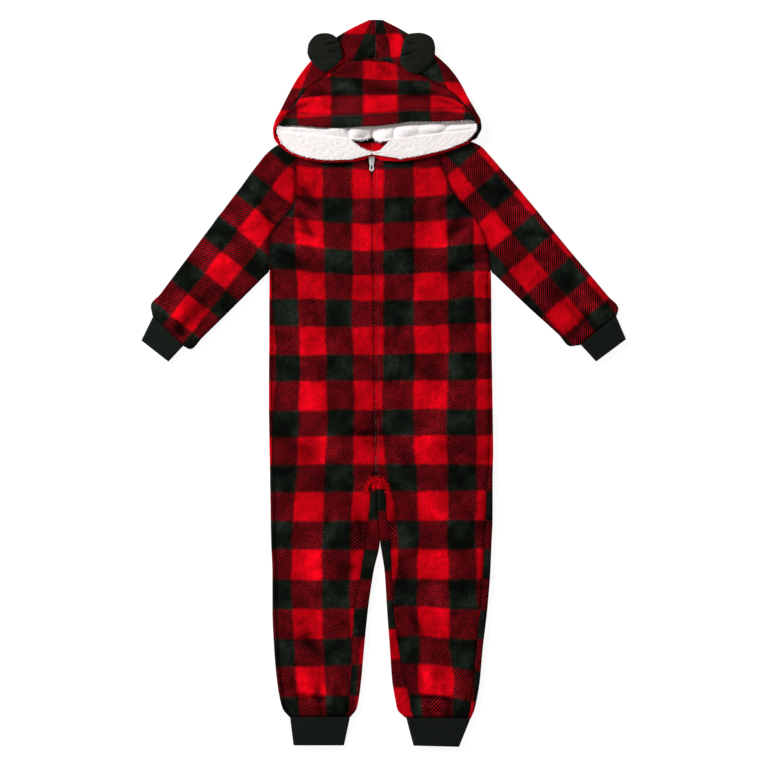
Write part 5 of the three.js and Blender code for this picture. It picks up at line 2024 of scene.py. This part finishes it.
@dataclass
class Zip:
    """Tapes with their coil, the slider and its pull, and the topstitch beside them."""

    tooth: float = 1.9
    tape_wide: float = 12.0
    tape_low: float = 3.4
    narrow: float = 4.6  # half width of the tape under the slider
    tape_cut: Cut = Cut(0.0125, 0.425, 0.0052)
    axis_y: float = 378.3
    slider_low: float = 371.0
    pull_low: float = 359.6
    pull_high: float = 378.9
    topstitch: float = 7.6
    stitch_span: tuple[float, float] = (-44.0, 366.0)
    seam_stitch: float = 5.0
    seam_span: tuple[float, float] = (-160.0, -60.0)
    widths: tuple[tuple[float, float], ...] = ((2.6, 0), (3.7, 0.9), (4.2, 2.6), (5.1, 10.2), (5.5, 13.0),
                                               (4.6, 14.3), (3.2, 14.6))
    arch: tuple[tuple[float, float], ...] = ((375.6, 7.8), (375.6, 10.4), (376.0, 11.3), (377.2, 11.65),
                                             (379.4, 11.65), (380.6, 11.3), (381.0, 10.4), (381.0, 7.8))

    def rise(self, y: float) -> float:
        """How far the tape climbs towards the slider."""
        return 0.9 * float(smooth((y - 350) / 16))

    def tape(self, side: Side) -> Solid:
        """One tape with its woven edge.

        Args:
            side: Which tape.

        Returns:
            Its points and its faces.
        """
        stations = np.linspace(ZIP_END, ZIP_TOP, 140)
        section = []
        for y in stations:
            low = self.tape_low + self.rise(y)
            top = low + TAPE
            wide = self.tape_wide + (self.narrow - self.tape_wide) * float(smooth((y - 344) / 18))
            outline = [(0.9, low + 0.1), (0.9, top), (1.6, top + 0.15), (wide, top), (wide, low)]
            section += [(float(zip_x(y)) - side.value * u, y, z) for u, z in outline]
        return np.array(section), tube_faces(len(stations), 5, turned=side is Side.RIGHT)

    def coil(self, side: Side) -> list[Solid]:
        """The coil's turns as small bent strands that reach over the middle.

        Args:
            side: Which tape carries them.

        Returns:
            Closed strands.
        """
        turns = []
        shift = 0.0 if side is Side.LEFT else self.tooth / 2
        for y in np.arange(ZIP_END + 1.5 + shift, 372, self.tooth):
            path = np.array([(-1.9, -0.25, 0.3), (-1.5, -0.1, 1.3), (-0.3, 0, 1.6), (0.35, 0, 1.1)])
            path = path * (side.value, 1, 1) + (float(zip_x(y)), y, 4.2 + self.rise(y))
            turns.append(strand(path, [0.35, 0.42, 0.45, 0.3]))
        return turns

    def slider(self, x: float) -> list[Solid]:
        """Top and bottom plates, the post between them and the bridge that holds the pull.

        Args:
            x: The zip's line.

        Returns:
            Its four parts.
        """
        half = np.array(self.widths)
        outline = np.roll(np.concatenate([half, half[::-1] * (-1, 1)]), 1, axis=0) + (0, self.slider_low)
        bridge = np.array([(x, y, z) for y, z in self.arch])
        return [plate(outline + (x, 0), 6.6, 8.2, 0.45), plate(outline * (0.95, 1) + (x, 0), 3.3, 4.05, 0.2),
                plate(rectangle(x, 1.4, 383.2, 385.4), 3.6, 7.0), strand(bridge, [0.62] * len(bridge), 10)]

    def pull(self, name: str, x: float) -> bpy.types.Object:
        """The tab with a slot for the bridge and a long eye, its edges rounded.

        Args:
            name: The piece's name.
            x: The zip's line.

        Returns:
            The new object.
        """
        a = np.linspace(math.pi, 2 * math.pi, 19)
        low, high = self.pull_low, self.pull_high
        end = np.column_stack([4.0 * np.cos(a), low + 3.6 + 3.6 * np.sin(a)])
        waist = np.array([(3.3, low + 10.5), (3.4, high - 1.2), (2.5, high)])
        line = np.concatenate([end, waist, waist[::-1] * (-1, 1)]) + (x, 0)
        piece = mesh_piece(name, *plate(line, 9.3, 10.5))
        turn = np.linspace(0, 2 * math.pi, 28, endpoint=False)
        eye = np.column_stack([x + 1.5 * np.cos(turn), 366.5 + 3.6 * np.sin(turn)])
        holes = (rectangle(x, 1.7, 373.8, 377.7), eye)
        cutters = [mesh_piece(f"{name}_cut", *plate(hole, 8.0, 12.0)) for hole in holes]
        for cutter in cutters:
            cut = piece.modifiers.new("hole", "BOOLEAN")
            cut.operation = "DIFFERENCE"
            cut.solver = "EXACT"
            cut.object = cutter
        edge = piece.modifiers.new("edge", "BEVEL")
        edge.width = 0.28 * MM
        edge.segments = 3
        edge.limit_method = "ANGLE"
        edge.angle_limit = math.radians(50)
        bpy.context.view_layer.update()
        mesh = bpy.data.meshes.new_from_object(piece.evaluated_get(bpy.context.evaluated_depsgraph_get()))
        piece.modifiers.clear()
        piece.data = mesh
        piece.data.materials.clear()
        for cutter in cutters:
            bpy.data.objects.remove(cutter)
        return piece

    def seam(self, span: tuple[float, float], count: int, away: float) -> list[Solid]:
        """Stitches beside the zip's line.

        Args:
            span: Y of both ends.
            count: Number of places at which the line is read.
            away: Distance from the zip's line.

        Returns:
            Closed strands.
        """
        y = np.linspace(*span, count)
        x = zip_x(y) + away
        return stitches(np.column_stack([x, y, FLAT + top_relief(x, y) - 0.15]))

    def build(self, tape: bpy.types.Material, metal: bpy.types.Material, thread: bpy.types.Material) -> None:
        """Makes the tapes, the slider, the pull and the topstitch.

        Args:
            tape: Finish of the tapes and the coil.
            metal: Finish of the slider and the pull.
            thread: Finish of the stitches.
        """
        for side in Side:
            piece = joined(f"zip_tape_{side.word}_woven", [self.tape(side), *self.coil(side)])
            dress(piece, tape, Slot.TAPE, f"zip_tape_{side.word}")
            self.tape_cut.lay(piece, f"front_{side.word}_cloth")
        x = float(zip_x(self.axis_y))
        dress(sharpened(joined("zip_slider_cast", self.slider(x))), metal, Slot.METAL, "zip_slider")
        dress(sharpened(self.pull("zip_pull_cast", x)), metal, Slot.METAL, "zip_pull", body="pull")
        sewn = self.seam(self.stitch_span, 260, self.topstitch)
        sewn += self.seam(self.seam_span, 60, self.seam_stitch)
        dress(joined("zip_topstitch", sewn), thread, Slot.PLUSH)


def rectangle(x: float, half: float, low: float, high: float) -> Array:
    """Corners of a rectangle round a line at x."""
    return np.array([(x - half, low), (x + half, low), (x + half, high), (x - half, high)])


def sharpened(piece: bpy.types.Object) -> bpy.types.Object:
    """Shades a hard piece smooth except over its sharp edges.

    Args:
        piece: The piece.

    Returns:
        The same piece.
    """
    piece.data.shade_smooth()
    piece.data.set_sharp_from_angle(angle=math.radians(38))
    return piece


@dataclass
class Studio:
    """Pale floor, soft light and a camera straight above."""

    distance: float = 6.0
    frame_width: float = 1.3056
    aim: tuple[float, float] = (0.0005, -0.0009)
    focus: float = 0.012
    sensor: float = 36.0
    floor_half: float = 4.0
    floor_z: float = -0.0004
    daylight: float = 0.25

    def place(self, name: str, data: bpy.types.ID) -> bpy.types.Object:
        """Adds an object to the scene.

        Args:
            name: Its name.
            data: What it shows.

        Returns:
            The new object.
        """
        made = bpy.data.objects.new(name, data)
        bpy.context.scene.collection.objects.link(made)
        return made

    def build(self) -> None:
        """Makes the floor, the lights and the camera."""
        scene = bpy.context.scene
        scene.view_settings.view_transform = "Standard"
        mesh = bpy.data.meshes.new("floor")
        r, z = self.floor_half, self.floor_z
        mesh.from_pydata([(-r, -r, z), (r, -r, z), (r, r, z), (-r, r, z)], [], [(0, 1, 2, 3)])
        mesh.materials.append(Paper().material())
        self.place("floor", mesh)
        world = bpy.data.worlds.new("studio")
        world.use_nodes = True
        background = world.node_tree.nodes["Background"]
        background.inputs[0].default_value = colour(1, 1, 1)
        background.inputs[1].default_value = self.daylight
        scene.world = world
        self.softbox("key", (-2.5, 2.1, 1.9), 0.7, 142.0)
        self.softbox("fill", (1.6, -1.2, 3.6), 2.4, 24.0)
        camera = bpy.data.cameras.new("camera")
        camera.sensor_width = self.sensor
        camera.lens = self.sensor * self.distance / self.frame_width
        camera.clip_end = 20.0
        scene.camera = self.place("camera", camera)
        scene.camera.location = (*self.aim, self.distance + self.focus)

    def softbox(self, name: str, place: tuple[float, float, float], size: float, power: float) -> None:
        """Adds a square light that faces the garment.

        Args:
            name: Its name.
            place: Where it hangs.
            size: Length of its sides.
            power: Its power in watts.
        """
        light = bpy.data.lights.new(name, "AREA")
        light.size = size
        light.energy = power
        holder = self.place(name, light)
        holder.location = place
        holder.rotation_euler = (-Vector(place)).to_track_quat("-Z", "Y").to_euler()


def main() -> None:
    """Builds the garment and its studio."""
    logging.basicConfig(level=logging.INFO, format="%(message)s")
    Studio().build()
    plush = PlushCheck().material()
    sherpa = SherpaPile().material()
    knits = (
        DarkKnit("rib_knit", colour(0.006, 0.0085, 0.006), colour(0.013, 0.016, 0.012), 700, 0.0004),
        DarkKnit("ear_fleece", colour(0.007, 0.0085, 0.006), colour(0.017, 0.019, 0.013), 500, 0.0012),
        DarkKnit("zip_tape", colour(0.05, 0.004, 0.006), colour(0.09, 0.008, 0.01), 1200, 0.0002),
    )
    rib, fleece, tape = (knit.material() for knit in knits)
    thread = Thread("red_thread", colour(0.4, 0.045, 0.055)).material()
    Body().build(plush)
    Sleeves().build(plush)
    Hood().build(plush, thread)
    Lining().build(sherpa)
    Cuffs().build(rib)
    Ears().build(fleece)
    Zip().build(tape, CastMetal().material(), thread)


if __name__ == "__main__":
    main()
